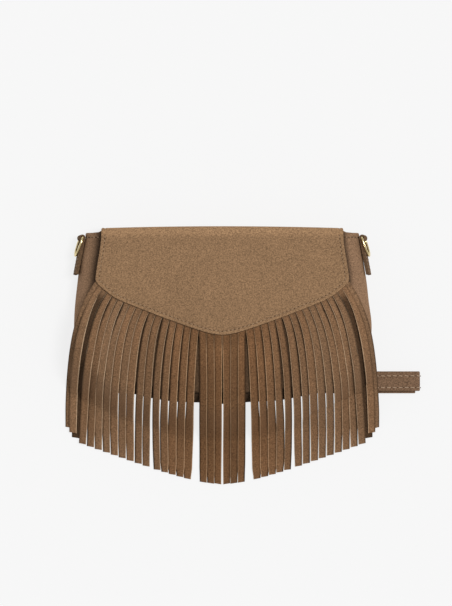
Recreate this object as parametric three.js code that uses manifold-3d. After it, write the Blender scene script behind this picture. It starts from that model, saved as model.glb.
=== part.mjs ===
// Fringed suede shoulder bag, lying on its back. Millimetres, +Y to the mouth, +Z up.
import * as THREE from 'three';
import { mergeVertices } from 'three/addons/utils/BufferGeometryUtils.js';
import Module from 'manifold-3d';

const wasm = await Module();
wasm.setup();

// Sheets and the gap between pieces that touch
const gap = 0.3;
const curveSlack = 0.3;
const bodySuede = 1.4;
const flapSuede = 1.4;
const fringeSuede = 1.2;
const liningCloth = 0.7;
const flapLiningSkin = 0.8;
const stiffenerBoard = 1.0;

// Outline of the body, seen from the front
const bodyHalfWidth = 116;
const mouthTaper = 10;
const mouthY = 65;
const shoulderY = -18;
const bottomReach = 50.3;
const bottomRoundness = 2.3;

// Depth of the body and the bulge of its side wall
const bodyDepth = 42;
const mouthDepth = 30;
const frontCrown = 4;
const sideInset = 15;
const bottomInset = 7;
const backInsetShare = 0.35;
const bulgeShare = 0.4;
const bulgePower = 2.2;
const seamFlange = 5;
const liningStandOff = 4.5;

// Flap
const foldRadius = 5;
const foldOverhang = 5;
const flapTopHalfWidth = 94;
const flapHalfWidth = 98;
const flapWideningLength = 40;
const flapTopBow = 1.5;
const flapTipY = -14.8;
const flapTipRound = 12;
const flapSlope = 0.365;
const flapBow = 0.0003;
const flapCornerRadius = 13;
const flapTopSheet = 2.4;
const flapRest = 0.4;
const arcLead = 0.02;
const flapLiningMargin = 1.5;

// Fringe
const stripsEachSide = 20;
const stripWidth = 5.1;
const headerDepth = 6;
const headerMargin = 1;
const headerCornerRadius = 7;
const centreStrips = 3;
const innerStrips = 8;
const spreadStrips = 17;
const centreTipX = 2.8;
const centreTipPitch = 5.85;
const innerTipX = 27.1;
const innerTipPitch = 5.9;
const outerTipX = 59.3;
const outerTipPitch = 6.21;
const edgeTipX = 113.5;
const edgeTipPitch = 3;
const edgeTipRise = 3;
const longestTipY = -131;
const tipSlope = 0.37;
const tipRound = 28;
const fallStart = 6;
const fallLength = 32;
const stripRest = 0.6;
const stripFirstReach = 0.38;
const stripFirstSpread = 0.64;
const stripLastReach = 0.45;
const stripLastSpread = 0.92;
const headerShare = 0.12;
const upperLayerRise = 2.1;
const upperLayerReach = 3.8;
const upperLayerShare = 0.25;
const stripSections = 10;

// Magnetic snap
const snapY = 8;
const snapRadius = 8.5;
const snapSocketHeight = 2;
const snapStudHeight = 1.2;
const snapNubRadius = 4;
const snapNubHeight = 1.2;
const snapNubClearance = 0.8;
const snapStemRadius = 1.5;
const snapWasherRadius = 6;
const snapWasher = 0.6;
const snapEdge = 0.5;
const snapCutterLength = 30;
const snapBulgeRadius = 34;

// Side tabs and rings
const tabWidth = 10.5;
const tabTopY = 63;
const tabLength = 31.5;
const tabSuede = 1.3;
const tabShare = 0.48;
const ringWireRadius = 0.9;
const ringHalfWidth = 6.8;
const ringDrop = 14.6;
const ringLean = 8;
const ringCornerDrop = 1.4;
const ringShoulderShare = 0.4;
const ringHaunchShare = 0.78;
const ringHaunchWidthShare = 0.72;
const ringBoreClearance = 0.25;

// Shoulder strap, folded in four layers under the bag
const strapWidth = 15.3;
const strapSheet = 2.2;
const strapY = -50.85;
const strapLowerShift = -1.8;
const strapUpperFoldX = 154.2;
const strapLowerFoldX = 150.6;
const strapLeftFoldX = -38;
const strapEndX = -87;
const strapRampLength = 20;
const strapEndRamp = 6;
const bridgeWidening = 3.5;
const strapStudInset = 6;
const strapLoopLength = 28;
const pressCapRadius = 4.5;
const pressCap = 0.8;
const pressStemRadius = 1.3;
const pressNubRadius = 1.8;
const pressNubHeight = 0.6;

// Fineness of the meshes
const sideRows = 6;
const bottomColumns = 22;
const panelRows = 7;
const backRows = 12;
const rollSteps = 3;
const wallSteps = 5;
const flapColumns = 20;
const flapRows = 6;
const roundSegments = 16;

// Materials
const suedeBrown = new THREE.MeshStandardMaterial({ color: 0x8c6d50, roughness: 0.95, metalness: 0 });
const fringeBrown = new THREE.MeshStandardMaterial({ color: 0x77583d, roughness: 0.95, metalness: 0 });
const liningBrown = new THREE.MeshStandardMaterial({ color: 0x5a4738, roughness: 0.9, metalness: 0 });
const boardGrey = new THREE.MeshStandardMaterial({ color: 0x9a8f80, roughness: 0.9, metalness: 0 });
const paleGold = new THREE.MeshStandardMaterial({ color: 0xd8bd7a, roughness: 0.25, metalness: 1 });

const part = new THREE.Group();

function addMesh(name, geometry, material) {
  const mesh = new THREE.Mesh(geometry, material);
  mesh.name = name;
  part.add(mesh);
  return mesh;
}

function mix(a, b, share) {
  return a + (b - a) * share;
}

function clamp01(value) {
  return Math.min(1, Math.max(0, value));
}

function smooth(value) {
  const t = clamp01(value);
  return t * t * (3 - 2 * t);
}

// Quads of a grid whose points run row by row inside each column
function gridFaces(columns, rows) {
  const faces = [];
  for (let i = 0; i < columns; i += 1) {
    for (let k = 0; k < rows; k += 1) {
      const a = i * (rows + 1) + k;
      const b = a + rows + 1;
      faces.push([a, b, b + 1, a + 1]);
    }
  }
  return faces;
}

// Closes a sheet of faces into a solid with a wall along each free edge
function sheetSolid(outer, inner, faces) {
  const count = outer.length;
  const triangles = [];
  const edges = new Map();
  for (const face of faces) {
    face.forEach((a, i) => {
      const b = face[(i + 1) % face.length];
      edges.set(`${a},${b}`, [a, b]);
    });
    for (let i = 2; i < face.length; i += 1) {
      triangles.push(face[0], face[i - 1], face[i]);
      triangles.push(face[0] + count, face[i] + count, face[i - 1] + count);
    }
  }
  for (const [a, b] of edges.values()) {
    if (edges.has(`${b},${a}`)) continue;
    triangles.push(a, a + count, b + count);
    triangles.push(a, b + count, b);
  }
  const geometry = new THREE.BufferGeometry();
  geometry.setFromPoints([...outer, ...inner]);
  geometry.setIndex(triangles);
  geometry.computeVertexNormals();
  return geometry;
}

function toManifold(geometry) {
  const bare = geometry.clone();
  bare.deleteAttribute('normal');
  bare.deleteAttribute('uv');
  const merged = mergeVertices(bare, 1e-4);
  const mesh = new wasm.Mesh({
    numProp: 3,
    vertProperties: new Float32Array(merged.attributes.position.array),
    triVerts: new Uint32Array(merged.index.array),
  });
  return new wasm.Manifold(mesh);
}

function fromManifold(solid) {
  const mesh = solid.getMesh();
  const geometry = new THREE.BufferGeometry();
  geometry.setAttribute('position', new THREE.BufferAttribute(new Float32Array(mesh.vertProperties), 3));
  geometry.setIndex(new THREE.BufferAttribute(new Uint32Array(mesh.triVerts), 1));
  geometry.computeVertexNormals();
  return geometry;
}

function cutAway(geometry, ...cutters) {
  let solid = toManifold(geometry);
  for (const cutter of cutters) {
    solid = solid.subtract(toManifold(cutter));
  }
  return fromManifold(solid);
}

// Turned solid about +Z from its radius and height pairs
function turned(pairs) {
  const profile = pairs.map(([radius, height]) => new THREE.Vector2(radius, height));
  return new THREE.LatheGeometry(profile, roundSegments).rotateX(Math.PI / 2);
}

// The body's shape

function rise01(y) {
  return Math.max(0, (y - shoulderY) / (mouthY - shoulderY));
}

function sideHalfWidth(y) {
  return bodyHalfWidth - mouthTaper * rise01(y) ** 2;
}

function seamHeight(y) {
  return bodyDepth - (bodyDepth - mouthDepth) * rise01(y) ** 1.5;
}

// Height that the back panel is lifted to where it drapes over the folded strap
const strapLayerPitch = strapSheet + gap;
const strapStack = 3 * strapLayerPitch + strapSheet;
const strapRoof = strapStack + pressCap + 2 * gap;
const strapMidY = strapY + strapLowerShift / 2;
const strapHalfSpan = (strapWidth - strapLowerShift) / 2;

function ridge(y, halfSpan, ramp) {
  return 1 - smooth((Math.abs(y - strapMidY) - halfSpan) / ramp);
}

// Each sheet above the strap bridges it a little more widely than the sheet below
function backHeight(y, widenings) {
  return strapRoof * ridge(y, strapHalfSpan + bridgeWidening * (1 + widenings), strapRampLength);
}

function bottomPoint(turn, halfWidth, reach) {
  const power = 2 / bottomRoundness;
  const across = Math.sign(Math.cos(turn)) * Math.abs(Math.cos(turn)) ** power;
  const down = Math.abs(Math.sin(turn)) ** power;
  return { x: -halfWidth * across, y: shoulderY - reach * down };
}

// A point of the outline, from the left of the mouth round the bottom to the right of the mouth
function outlinePoint(step, seamShare, inward, topY) {
  const lastSide = sideRows + bottomColumns;
  if (step >= sideRows && step <= lastSide) {
    const turn = (Math.PI * (step - sideRows)) / bottomColumns;
    const halfWidth = bodyHalfWidth - sideInset * seamShare - inward;
    const reach = bottomReach - bottomInset * seamShare - inward;
    return bottomPoint(turn, halfWidth, reach);
  }
  const side = step < sideRows ? -1 : 1;
  const down = step < sideRows ? step / sideRows : (lastSide + sideRows - step) / sideRows;
  const y = mix(topY, shoulderY, down);
  return { x: side * (sideHalfWidth(y) - sideInset * seamShare - inward), y };
}

const outlineSteps = 2 * sideRows + bottomColumns;

function panelHalfWidth(y, seamShare, inward) {
  return sideHalfWidth(Math.max(y, shoulderY)) - sideInset * seamShare - inward;
}

function crown(x, y) {
  const across = 1 - (x / panelHalfWidth(y, 1, 0)) ** 2;
  const seamBottomY = shoulderY - bottomReach + bottomInset;
  const along = Math.sin(Math.PI * clamp01((y - seamBottomY) / (mouthY - seamBottomY)));
  return frontCrown * Math.max(0, across) * along;
}

function panelTop(x, y) {
  return seamHeight(y) + crown(x, y);
}

// Share of the seam's inset at a share of the wall's height: 0 at the widest point, 1 at the front seam
function wallShare(height) {
  if (height > bulgeShare) {
    return ((height - bulgeShare) / (1 - bulgeShare)) ** bulgePower;
  }
  return backInsetShare * ((bulgeShare - height) / bulgeShare) ** bulgePower;
}

// Points of a panel that fills the outline: columns from the bottom edge to the top edge
function panelGrid(seamShare, inward, topY, rows, heightAt) {
  const points = [];
  const halfWidth = panelHalfWidth(shoulderY, seamShare, inward);
  for (let i = 0; i <= bottomColumns; i += 1) {
    const foot = outlinePoint(sideRows + i, seamShare, inward, topY);
    for (let k = 0; k <= rows; k += 1) {
      const y = mix(foot.y, topY, k / rows);
      const x = (foot.x / halfWidth) * panelHalfWidth(y, seamShare, inward);
      points.push(new THREE.Vector3(x, y, heightAt(x, y)));
    }
  }
  return points;
}

const layer = bodySuede + gap;

// Front panel, with a hole for the snap's stem

function snapFrame() {
  const slope = (panelTop(0, snapY + 1) - panelTop(0, snapY - 1)) / 2;
  const frame = new THREE.Group();
  frame.position.set(0, snapY, panelTop(0, snapY));
  frame.rotation.x = Math.atan(slope);
  frame.updateMatrix();
  return frame;
}

const snap = snapFrame();

function snapCutter(radius) {
  const cutter = new THREE.CylinderGeometry(radius, radius, snapCutterLength, roundSegments).rotateX(Math.PI / 2);
  return cutter.applyMatrix4(snap.matrix);
}

function frontPanel() {
  const outer = panelGrid(1, 0, mouthY, panelRows, panelTop);
  const inner = panelGrid(1, 0, mouthY, panelRows, (x, y) => panelTop(x, y) - bodySuede);
  const sheet = sheetSolid(outer, inner, gridFaces(bottomColumns, panelRows));
  return cutAway(sheet, snapCutter(snapStemRadius + gap));
}

// Back panel, whose top edge rolls up towards the flap

const hingeY = mouthY + foldOverhang;
const halfGapTurn = gap / 2 / foldRadius;

function topBow(x) {
  return flapTopBow * (x / flapTopHalfWidth) ** 2;
}

function backPanel() {
  const outer = [];
  const inner = [];
  const halfWidth = panelHalfWidth(shoulderY, backInsetShare, 0);
  for (let i = 0; i <= bottomColumns; i += 1) {
    const foot = outlinePoint(sideRows + i, backInsetShare, 0, mouthY);
    const share = foot.x / halfWidth;
    for (let k = 0; k <= backRows; k += 1) {
      const y = mix(foot.y, mouthY, k / backRows);
      const x = share * panelHalfWidth(y, backInsetShare, 0);
      outer.push(new THREE.Vector3(x, y, backHeight(y, 0)));
      inner.push(new THREE.Vector3(x, y, backHeight(y, 0) + bodySuede));
    }
    for (let k = 1; k <= rollSteps; k += 1) {
      const turn = (Math.PI / 4 - halfGapTurn) * (k / rollSteps);
      const x = share * mix(panelHalfWidth(mouthY, backInsetShare, 0), flapTopHalfWidth, k / rollSteps);
      const y = hingeY - foldRadius - topBow(x) * (k / rollSteps);
      const small = foldRadius - bodySuede;
      const centreZ = foldRadius;
      outer.push(new THREE.Vector3(x, y + foldRadius * Math.sin(turn), centreZ - foldRadius * Math.cos(turn)));
      inner.push(new THREE.Vector3(x, y + small * Math.sin(turn), centreZ - small * Math.cos(turn)));
    }
  }
  return sheetSolid(inner, outer, gridFaces(bottomColumns, backRows + rollSteps));
}

// Gusset: one strip round the sides and bottom, with a flange under each panel

function wallHeights(x, y) {
  return { low: backHeight(y, 2) + layer, high: panelTop(x, y) - layer };
}

function wallLean(height, depth) {
  const step = 0.01;
  const change = wallShare(Math.min(1, height + step)) - wallShare(Math.max(0, height - step));
  return (sideInset * change) / (2 * step * depth);
}

function gusset() {
  const outer = [];
  const inner = [];
  for (let step = 0; step <= outlineSteps; step += 1) {
    const seam = outlinePoint(step, 1, 0, mouthY);
    const { low, high } = wallHeights(seam.x, seam.y);
    const depth = high - low;
    const backFlange = outlinePoint(step, backInsetShare, seamFlange, mouthY);
    const frontFlange = outlinePoint(step, 1, seamFlange, mouthY);
    const backLow = backHeight(backFlange.y, 2) + layer;
    const frontHigh = panelTop(frontFlange.x, frontFlange.y) - layer;
    outer.push(new THREE.Vector3(backFlange.x, backFlange.y, backLow));
    inner.push(new THREE.Vector3(backFlange.x, backFlange.y, backLow + bodySuede));
    for (let m = 0; m <= wallSteps; m += 1) {
      const height = m / wallSteps;
      const outside = outlinePoint(step, wallShare(height), 0, mouthY);
      const innerHeight = (bodySuede + height * (depth - 2 * bodySuede)) / depth;
      const thick = bodySuede * Math.hypot(1, wallLean(innerHeight, depth));
      const inside = outlinePoint(step, wallShare(innerHeight), thick, mouthY);
      const edgeLow = backHeight(outside.y, 2) + layer;
      outer.push(new THREE.Vector3(outside.x, outside.y, mix(edgeLow, high, height)));
      inner.push(new THREE.Vector3(inside.x, inside.y, mix(edgeLow, high, innerHeight)));
    }
    outer.push(new THREE.Vector3(frontFlange.x, frontFlange.y, frontHigh));
    inner.push(new THREE.Vector3(frontFlange.x, frontFlange.y, frontHigh - bodySuede));
  }
  return sheetSolid(outer, inner, gridFaces(outlineSteps, wallSteps + 2));
}

// Lining: a pouch open at the mouth, made of a back, a wall and a front that share their edges

function liningSkin(inward) {
  const topY = mouthY - 1.5;
  const standOff = liningStandOff + inward;
  const backAt = (x, y) => backHeight(y, 4) + 2 * layer + inward;
  const frontAt = (x, y) => panelTop(x, y) - 2 * layer - inward;
  const back = panelGrid(backInsetShare, standOff, topY, sideRows, backAt);
  const front = panelGrid(1, standOff, topY, sideRows, frontAt);
  const wall = [];
  for (let step = 0; step <= outlineSteps; step += 1) {
    for (let m = 1; m < wallSteps; m += 1) {
      const height = m / wallSteps;
      const low = outlinePoint(step, backInsetShare, standOff, topY);
      const high = outlinePoint(step, 1, standOff, topY);
      const spot = outlinePoint(step, wallShare(height), standOff, topY);
      const z = mix(backAt(low.x, low.y), frontAt(high.x, high.y), height);
      wall.push(new THREE.Vector3(spot.x, spot.y, z));
    }
  }
  return { back, front, wall };
}

// Index in a panel grid of the outline's point at a step
function outlineIndex(step) {
  const rows = sideRows + 1;
  if (step < sideRows) return sideRows - step;
  if (step > sideRows + bottomColumns) return bottomColumns * rows + step - sideRows - bottomColumns;
  return (step - sideRows) * rows;
}

function lining() {
  const outer = liningSkin(0);
  const inner = liningSkin(liningCloth);
  const backCount = outer.back.length;
  const frontStart = backCount;
  const wallStart = backCount + outer.front.length;
  const faces = gridFaces(bottomColumns, sideRows).map((face) => [...face].reverse());
  gridFaces(bottomColumns, sideRows).forEach((face) => faces.push(face.map((i) => i + frontStart)));
  const wallIndex = (step, m) => {
    if (m === 0) return outlineIndex(step);
    if (m === wallSteps) return frontStart + outlineIndex(step);
    return wallStart + step * (wallSteps - 1) + m - 1;
  };
  for (let step = 0; step < outlineSteps; step += 1) {
    for (let m = 0; m < wallSteps; m += 1) {
      faces.push([wallIndex(step, m), wallIndex(step + 1, m), wallIndex(step + 1, m + 1), wallIndex(step, m + 1)]);
    }
  }
  const all = (skin) => [...skin.back, ...skin.front, ...skin.wall];
  return sheetSolid(all(outer), all(inner), faces);
}

// The flap's outline and layers

const fillerLayer = Math.max(fringeSuede, stiffenerBoard);
const snapClosed = snapSocketHeight + gap + snapStudHeight + 2 * gap + curveSlack;

function flapLift(x, y) {
  const reach = clamp01((Math.hypot(x, y - snapY) - 1.5 * snapRadius) / snapBulgeRadius);
  return flapRest + (snapClosed - flapRest) * (1 - reach ** 2) ** 2;
}

function flapLiningUnder(x, y) {
  return panelTop(x, y) + flapLift(x, y);
}

function fillerUnder(x, y) {
  return flapLiningUnder(x, y) + flapLiningSkin + gap + curveSlack;
}

function flapUnder(x, y) {
  return fillerUnder(x, y) + fillerLayer + gap + curveSlack;
}

const foldZ = flapUnder(0, mouthY) + flapSuede;

function flapHalfAt(y) {
  return mix(flapTopHalfWidth, flapHalfWidth, smooth((mouthY - y) / flapWideningLength));
}

function edgeY(x, cornerRadius) {
  const along = Math.abs(x);
  const past = Math.min(cornerRadius, Math.max(0, along - flapHalfWidth + cornerRadius));
  const cornerRise = cornerRadius - Math.sqrt(cornerRadius ** 2 - past ** 2);
  const sweep = flapSlope * (Math.hypot(along, flapTipRound) - flapTipRound);
  return flapTipY + sweep + flapBow * along ** 2 + cornerRise;
}

function flapEdgeY(x) {
  return edgeY(x, flapCornerRadius);
}

// Points of a sheet in the flap: inset from its sides, raised from its lower edge
function flapGrid(sideMargin, edgeMargin, topY, heightAt) {
  const points = [];
  for (let i = 0; i <= flapColumns; i += 1) {
    const across = Math.sin((Math.PI / 2) * ((2 * i) / flapColumns - 1));
    const footY = flapEdgeY(across * flapHalfWidth) + edgeMargin;
    for (let k = 0; k <= flapRows; k += 1) {
      const y = mix(footY, topY, k / flapRows);
      const x = across * (flapHalfAt(y) - sideMargin);
      points.push(new THREE.Vector3(x, y, heightAt(x, y)));
    }
  }
  return points;
}

function foldArc(points, x, centreY, centreZ, radius, from, to, steps) {
  for (let k = 1; k <= steps; k += 1) {
    const turn = mix(from, to, k / steps);
    points.push(new THREE.Vector3(x, centreY + radius * Math.cos(turn), centreZ + radius * Math.sin(turn)));
  }
}

// Flap front, whose top edge rolls over the mouth
function flapFront() {
  const arcSteps = 3;
  const rows = flapRows + 1 + arcSteps;
  const outer = [];
  const inner = [];
  const upper = flapGrid(0, 0, mouthY, (x, y) => flapUnder(x, y) + flapSuede);
  const lower = flapGrid(0, 0, mouthY, flapUnder);
  for (let i = 0; i <= flapColumns; i += 1) {
    const start = i * (flapRows + 1);
    outer.push(...upper.slice(start, start + flapRows + 1));
    inner.push(...lower.slice(start, start + flapRows + 1));
    const x = upper[start + flapRows].x;
    const y = hingeY - foldRadius - topBow(x);
    const centreZ = foldZ - foldRadius;
    const last = Math.PI / 4 + halfGapTurn;
    foldArc(outer, x, y, centreZ, foldRadius, Math.PI / 2 + arcLead, last, arcSteps + 1);
    foldArc(inner, x, y, centreZ, foldRadius - flapSuede, Math.PI / 2 + arcLead, last, arcSteps + 1);
  }
  return sheetSolid(outer, inner, gridFaces(flapColumns, rows));
}

// Flap top, the strip of flap between the two folds
function flapTop() {
  const arcSteps = 3;
  const runSteps = 4;
  const outer = [];
  const inner = [];
  for (let i = 0; i <= flapColumns; i += 1) {
    const x = Math.sin((Math.PI / 2) * ((2 * i) / flapColumns - 1)) * flapTopHalfWidth;
    const y = hingeY - foldRadius - topBow(x);
    const highZ = foldZ - foldRadius;
    const turn = Math.PI / 4 - halfGapTurn;
    for (const [points, radius] of [[outer, foldRadius], [inner, foldRadius - flapTopSheet]]) {
      foldArc(points, x, y, foldRadius, radius, -turn, 0, arcSteps);
      for (let k = 1; k < runSteps; k += 1) {
        points.push(new THREE.Vector3(x, y + radius, mix(foldRadius, highZ, k / runSteps)));
      }
      foldArc(points, x, y, highZ, radius, 0, turn, arcSteps);
    }
  }
  const rows = outer.length / (flapColumns + 1) - 1;
  return sheetSolid(inner, outer, gridFaces(flapColumns, rows));
}

function flapLining() {
  const outer = flapGrid(flapLiningMargin, flapLiningMargin, mouthY - 1, (x, y) => flapLiningUnder(x, y) + flapLiningSkin);
  const inner = flapGrid(flapLiningMargin, flapLiningMargin, mouthY - 1, flapLiningUnder);
  const sheet = sheetSolid(outer, inner, gridFaces(flapColumns, flapRows));
  return cutAway(sheet, snapCutter(snapStemRadius + gap));
}

function flapStiffener() {
  const inset = headerDepth + headerMargin + 3;
  const bottom = (x, y) => fillerUnder(x, y);
  const outer = flapGrid(inset, inset, mouthY - 1, (x, y) => bottom(x, y) + stiffenerBoard);
  const inner = flapGrid(inset, inset, mouthY - 1, bottom);
  const sheet = sheetSolid(outer, inner, gridFaces(flapColumns, flapRows));
  return cutAway(sheet, snapCutter(snapWasherRadius + gap));
}

// Fringe: a header under the flap's edge, cut into strips that fall over the body to the floor

class HeaderEdge extends THREE.Curve {
  getPoint(t, target = new THREE.Vector3()) {
    const x = flapHalfWidth * Math.sin((Math.PI / 2) * (2 * t - 1));
    return target.set(x, edgeY(x, headerCornerRadius), 0);
  }
}

const headerEdge = new HeaderEdge();
headerEdge.arcLengthDivisions = 800;

function outsideSeam(x, y) {
  if (y >= shoulderY) return Math.abs(x) - panelHalfWidth(y, 1, 0);
  const halfWidth = bodyHalfWidth - sideInset;
  const reach = bottomReach - bottomInset;
  const down = shoulderY - y;
  const power = bottomRoundness;
  const ratio = ((Math.abs(x) / halfWidth) ** power + (down / reach) ** power) ** (1 / power);
  const radius = Math.hypot(x, down);
  return radius - radius / ratio;
}

// Height of the surface that a strip lies on: the front panel, then a fall past the seam to the floor
function drape(x, y) {
  const fall = panelTop(x, y) * (1 - smooth((outsideSeam(x, y) - fallStart) / fallLength));
  const overStrap = x > 0 ? (strapStack + stripRest) * ridge(y, strapHalfSpan + 3 * bridgeWidening, strapRampLength) : 0;
  return Math.max(gap, fall + stripRest, overStrap);
}

function tipX(rank) {
  if (rank < centreStrips) return centreTipX + centreTipPitch * rank;
  if (rank < innerStrips) return innerTipX + innerTipPitch * (rank - centreStrips);
  if (rank < spreadStrips) return outerTipX + outerTipPitch * (rank - innerStrips);
  return edgeTipX + edgeTipPitch * (rank - spreadStrips);
}

function tipY(rank) {
  const edgeRise = edgeTipRise * Math.max(0, rank - spreadStrips + 1);
  return longestTipY + tipSlope * (Math.hypot(tipX(rank), tipRound) - tipRound) + edgeRise;
}

const edgeLength = headerEdge.getLength();
const stripPitch = edgeLength / (2 * stripsEachSide);

function edgeSpot(distance, inward) {
  const share = clamp01(distance / edgeLength);
  const along = headerEdge.getTangentAt(share);
  const down = new THREE.Vector3(along.y, -along.x, 0);
  return headerEdge.getPointAt(share).addScaledVector(down, -inward);
}

// The strips at the edge overlap, so every second one there lies a layer higher
function stripLayer(rank) {
  return rank >= spreadStrips - 1 && (rank - spreadStrips) % 2 !== 0 ? 1 : 0;
}

function stripPath(index) {
  const middle = stripPitch * (index + 0.5);
  const left = index < stripsEachSide;
  const rank = left ? stripsEachSide - 1 - index : index - stripsEachSide;
  const root = edgeSpot(middle, headerMargin);
  const tip = new THREE.Vector3((left ? -1 : 1) * tipX(rank), tipY(rank), 0);
  const between = (spread, reach) => new THREE.Vector3(mix(root.x, tip.x, spread), mix(root.y, tip.y, reach), 0);
  const first = between(stripFirstSpread, stripFirstReach);
  const second = between(stripLastSpread, 1 - stripLastReach);
  return { curve: new THREE.CubicBezierCurve3(root, first, second, tip), rank };
}

function stripHeight(x, y, share, rank) {
  const fromHeader = 1 - smooth(share / headerShare);
  const header = fillerUnder(x, y);
  const upper = stripLayer(rank) * smooth(share / upperLayerShare);
  const neighbour = drape(x - Math.sign(x) * upperLayerReach * upper, y);
  const lying = Math.max(drape(x, y), neighbour) + upper * upperLayerRise;
  return mix(lying, Math.max(header, lying), fromHeader);
}

function addRibbonPair(outer, inner, x, y, height, normal) {
  inner.push(new THREE.Vector3(x, y, height));
  outer.push(new THREE.Vector3(x, y, height).addScaledVector(normal, fringeSuede));
}

function fringe() {
  const outer = [];
  const inner = [];
  const faces = [];
  const up = new THREE.Vector3(0, 0, 1);
  const strips = 2 * stripsEachSide;
  const edgeAt = (column) => {
    const middle = stripPitch * (Math.floor(column / 2) + 0.5);
    return middle + (column % 2 === 0 ? -stripWidth / 2 : stripWidth / 2);
  };
  for (let column = 0; column < 2 * strips; column += 1) {
    for (const inward of [headerMargin, headerMargin + headerDepth]) {
      const spot = edgeSpot(edgeAt(column), inward);
      addRibbonPair(outer, inner, spot.x, spot.y, fillerUnder(spot.x, spot.y), up);
    }
    if (column > 0) {
      const a = 2 * (column - 1);
      faces.push([a, a + 2, a + 3, a + 1]);
    }
  }
  for (let index = 0; index < strips; index += 1) {
    const { curve, rank } = stripPath(index);
    let previous = [4 * index, 4 * index + 2];
    for (let section = 1; section <= stripSections; section += 1) {
      const share = section / stripSections;
      const spot = curve.getPointAt(share);
      const along = curve.getTangentAt(share);
      const right = new THREE.Vector3(-along.y, along.x, 0).normalize();
      const ahead = spot.clone().addScaledVector(along, 1);
      const slope = drape(ahead.x, ahead.y) - drape(spot.x, spot.y);
      const normal = new THREE.Vector3(-along.x * slope, -along.y * slope, 1).normalize();
      const row = [];
      for (const side of [-1, 1]) {
        const edge = spot.clone().addScaledVector(right, (side * stripWidth) / 2);
        row.push(outer.length);
        addRibbonPair(outer, inner, edge.x, edge.y, stripHeight(spot.x, spot.y, share, rank), normal);
      }
      faces.push([row[0], row[1], previous[1], previous[0]]);
      previous = row;
    }
  }
  return sheetSolid(outer, inner, faces);
}

// Magnetic snap, turned about the front panel's normal

function placeOnSnap(mesh) {
  mesh.position.copy(snap.position);
  mesh.quaternion.copy(snap.quaternion);
}

const socketTop = gap + snapSocketHeight;
const studBase = snapClosed - gap - curveSlack;

function addSnap() {
  const recessRadius = snapNubRadius + snapNubClearance;
  const recessFloor = socketTop - snapNubHeight - gap;
  const stemEnd = -bodySuede - gap / 2;
  placeOnSnap(addMesh('snap_socket', turned([
    [0, stemEnd], [snapStemRadius, stemEnd], [snapStemRadius, gap], [snapRadius, gap],
    [snapRadius, socketTop - snapEdge], [snapRadius - snapEdge, socketTop], [recessRadius, socketTop],
    [recessRadius, recessFloor], [0, recessFloor],
  ]), paleGold));
  placeOnSnap(addMesh('snap_socket_washer', turned([
    [0, stemEnd - gap - snapWasher], [snapWasherRadius, stemEnd - gap - snapWasher],
    [snapWasherRadius, stemEnd - gap], [0, stemEnd - gap],
  ]), paleGold));
  const studFace = studBase - snapStudHeight;
  const studStemEnd = studBase + gap + curveSlack + flapLiningSkin + gap / 2;
  placeOnSnap(addMesh('snap_stud', turned([
    [0, studFace - snapNubHeight], [snapNubRadius, studFace - snapNubHeight], [snapNubRadius, studFace],
    [snapRadius - snapEdge, studFace], [snapRadius, studFace + snapEdge], [snapRadius, studBase],
    [snapStemRadius, studBase], [snapStemRadius, studStemEnd], [0, studStemEnd],
  ]), paleGold));
  placeOnSnap(addMesh('snap_stud_washer', turned([
    [0, studStemEnd + gap], [snapWasherRadius, studStemEnd + gap],
    [snapWasherRadius, studStemEnd + gap + snapWasher], [0, studStemEnd + gap + snapWasher],
  ]), paleGold));
}

// Side tabs and rings, each in a frame on the gusset: X out of the wall, Y up along it

function wallSpot(side, y, height) {
  const seamX = side * panelHalfWidth(y, 1, 0);
  const { low, high } = wallHeights(seamX, y);
  return new THREE.Vector3(side * panelHalfWidth(y, wallShare(height), 0), y, mix(low, high, height));
}

function tabFrame(side) {
  const y = tabTopY - tabLength / 2;
  const spot = wallSpot(side, y, tabShare);
  const up = wallSpot(side, y + 1, tabShare).sub(wallSpot(side, y - 1, tabShare)).normalize();
  const deep = wallSpot(side, y, tabShare + 0.05).sub(wallSpot(side, y, tabShare - 0.05)).normalize();
  const out = new THREE.Vector3().crossVectors(up, deep).normalize();
  if (out.x * side < 0) out.negate();
  const across = new THREE.Vector3().crossVectors(out, up).normalize();
  const frame = new THREE.Group();
  frame.quaternion.setFromRotationMatrix(new THREE.Matrix4().makeBasis(out, up, across));
  frame.position.copy(spot).addScaledVector(out, gap + 0.1);
  return frame;
}

const tabBore = ringWireRadius + ringBoreClearance;
const tabLoopRadius = tabBore + tabSuede;
const tabLoopY = tabLength / 2 - tabLoopRadius;

function tabGeometry() {
  const shape = new THREE.Shape();
  const sheet = 2 * tabSuede;
  const foot = -tabLength / 2;
  const joinTurn = -Math.acos((sheet - tabLoopRadius) / tabLoopRadius);
  shape.moveTo(0, foot);
  shape.lineTo(0, tabLoopY);
  shape.absarc(tabLoopRadius, tabLoopY, tabLoopRadius, Math.PI, joinTurn, true);
  shape.lineTo(sheet, foot);
  shape.closePath();
  const bore = new THREE.Path();
  bore.absarc(tabLoopRadius, tabLoopY, tabBore, 0, 2 * Math.PI, false);
  shape.holes.push(bore);
  const options = { depth: tabWidth, bevelEnabled: false, curveSegments: 10 };
  return new THREE.ExtrudeGeometry(shape, options).translate(0, 0, -tabWidth / 2);
}

function ringGeometry() {
  const half = ringHalfWidth;
  const shoulder = ringDrop * ringShoulderShare;
  const haunch = ringDrop * ringHaunchShare;
  const haunchHalf = half * ringHaunchWidthShare;
  const bow = [
    [0, -half + ringCornerDrop], [0, -half / 3], [0, half / 3], [0, half - ringCornerDrop],
    [ringCornerDrop, half], [shoulder, half], [haunch, haunchHalf], [ringDrop, 0],
    [haunch, -haunchHalf], [shoulder, -half], [ringCornerDrop, -half],
  ];
  const points = bow.map(([down, across]) => new THREE.Vector3(0, -down, across));
  const loop = new THREE.CatmullRomCurve3(points, true, 'centripetal');
  return new THREE.TubeGeometry(loop, 34, ringWireRadius, 6, true);
}

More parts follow.
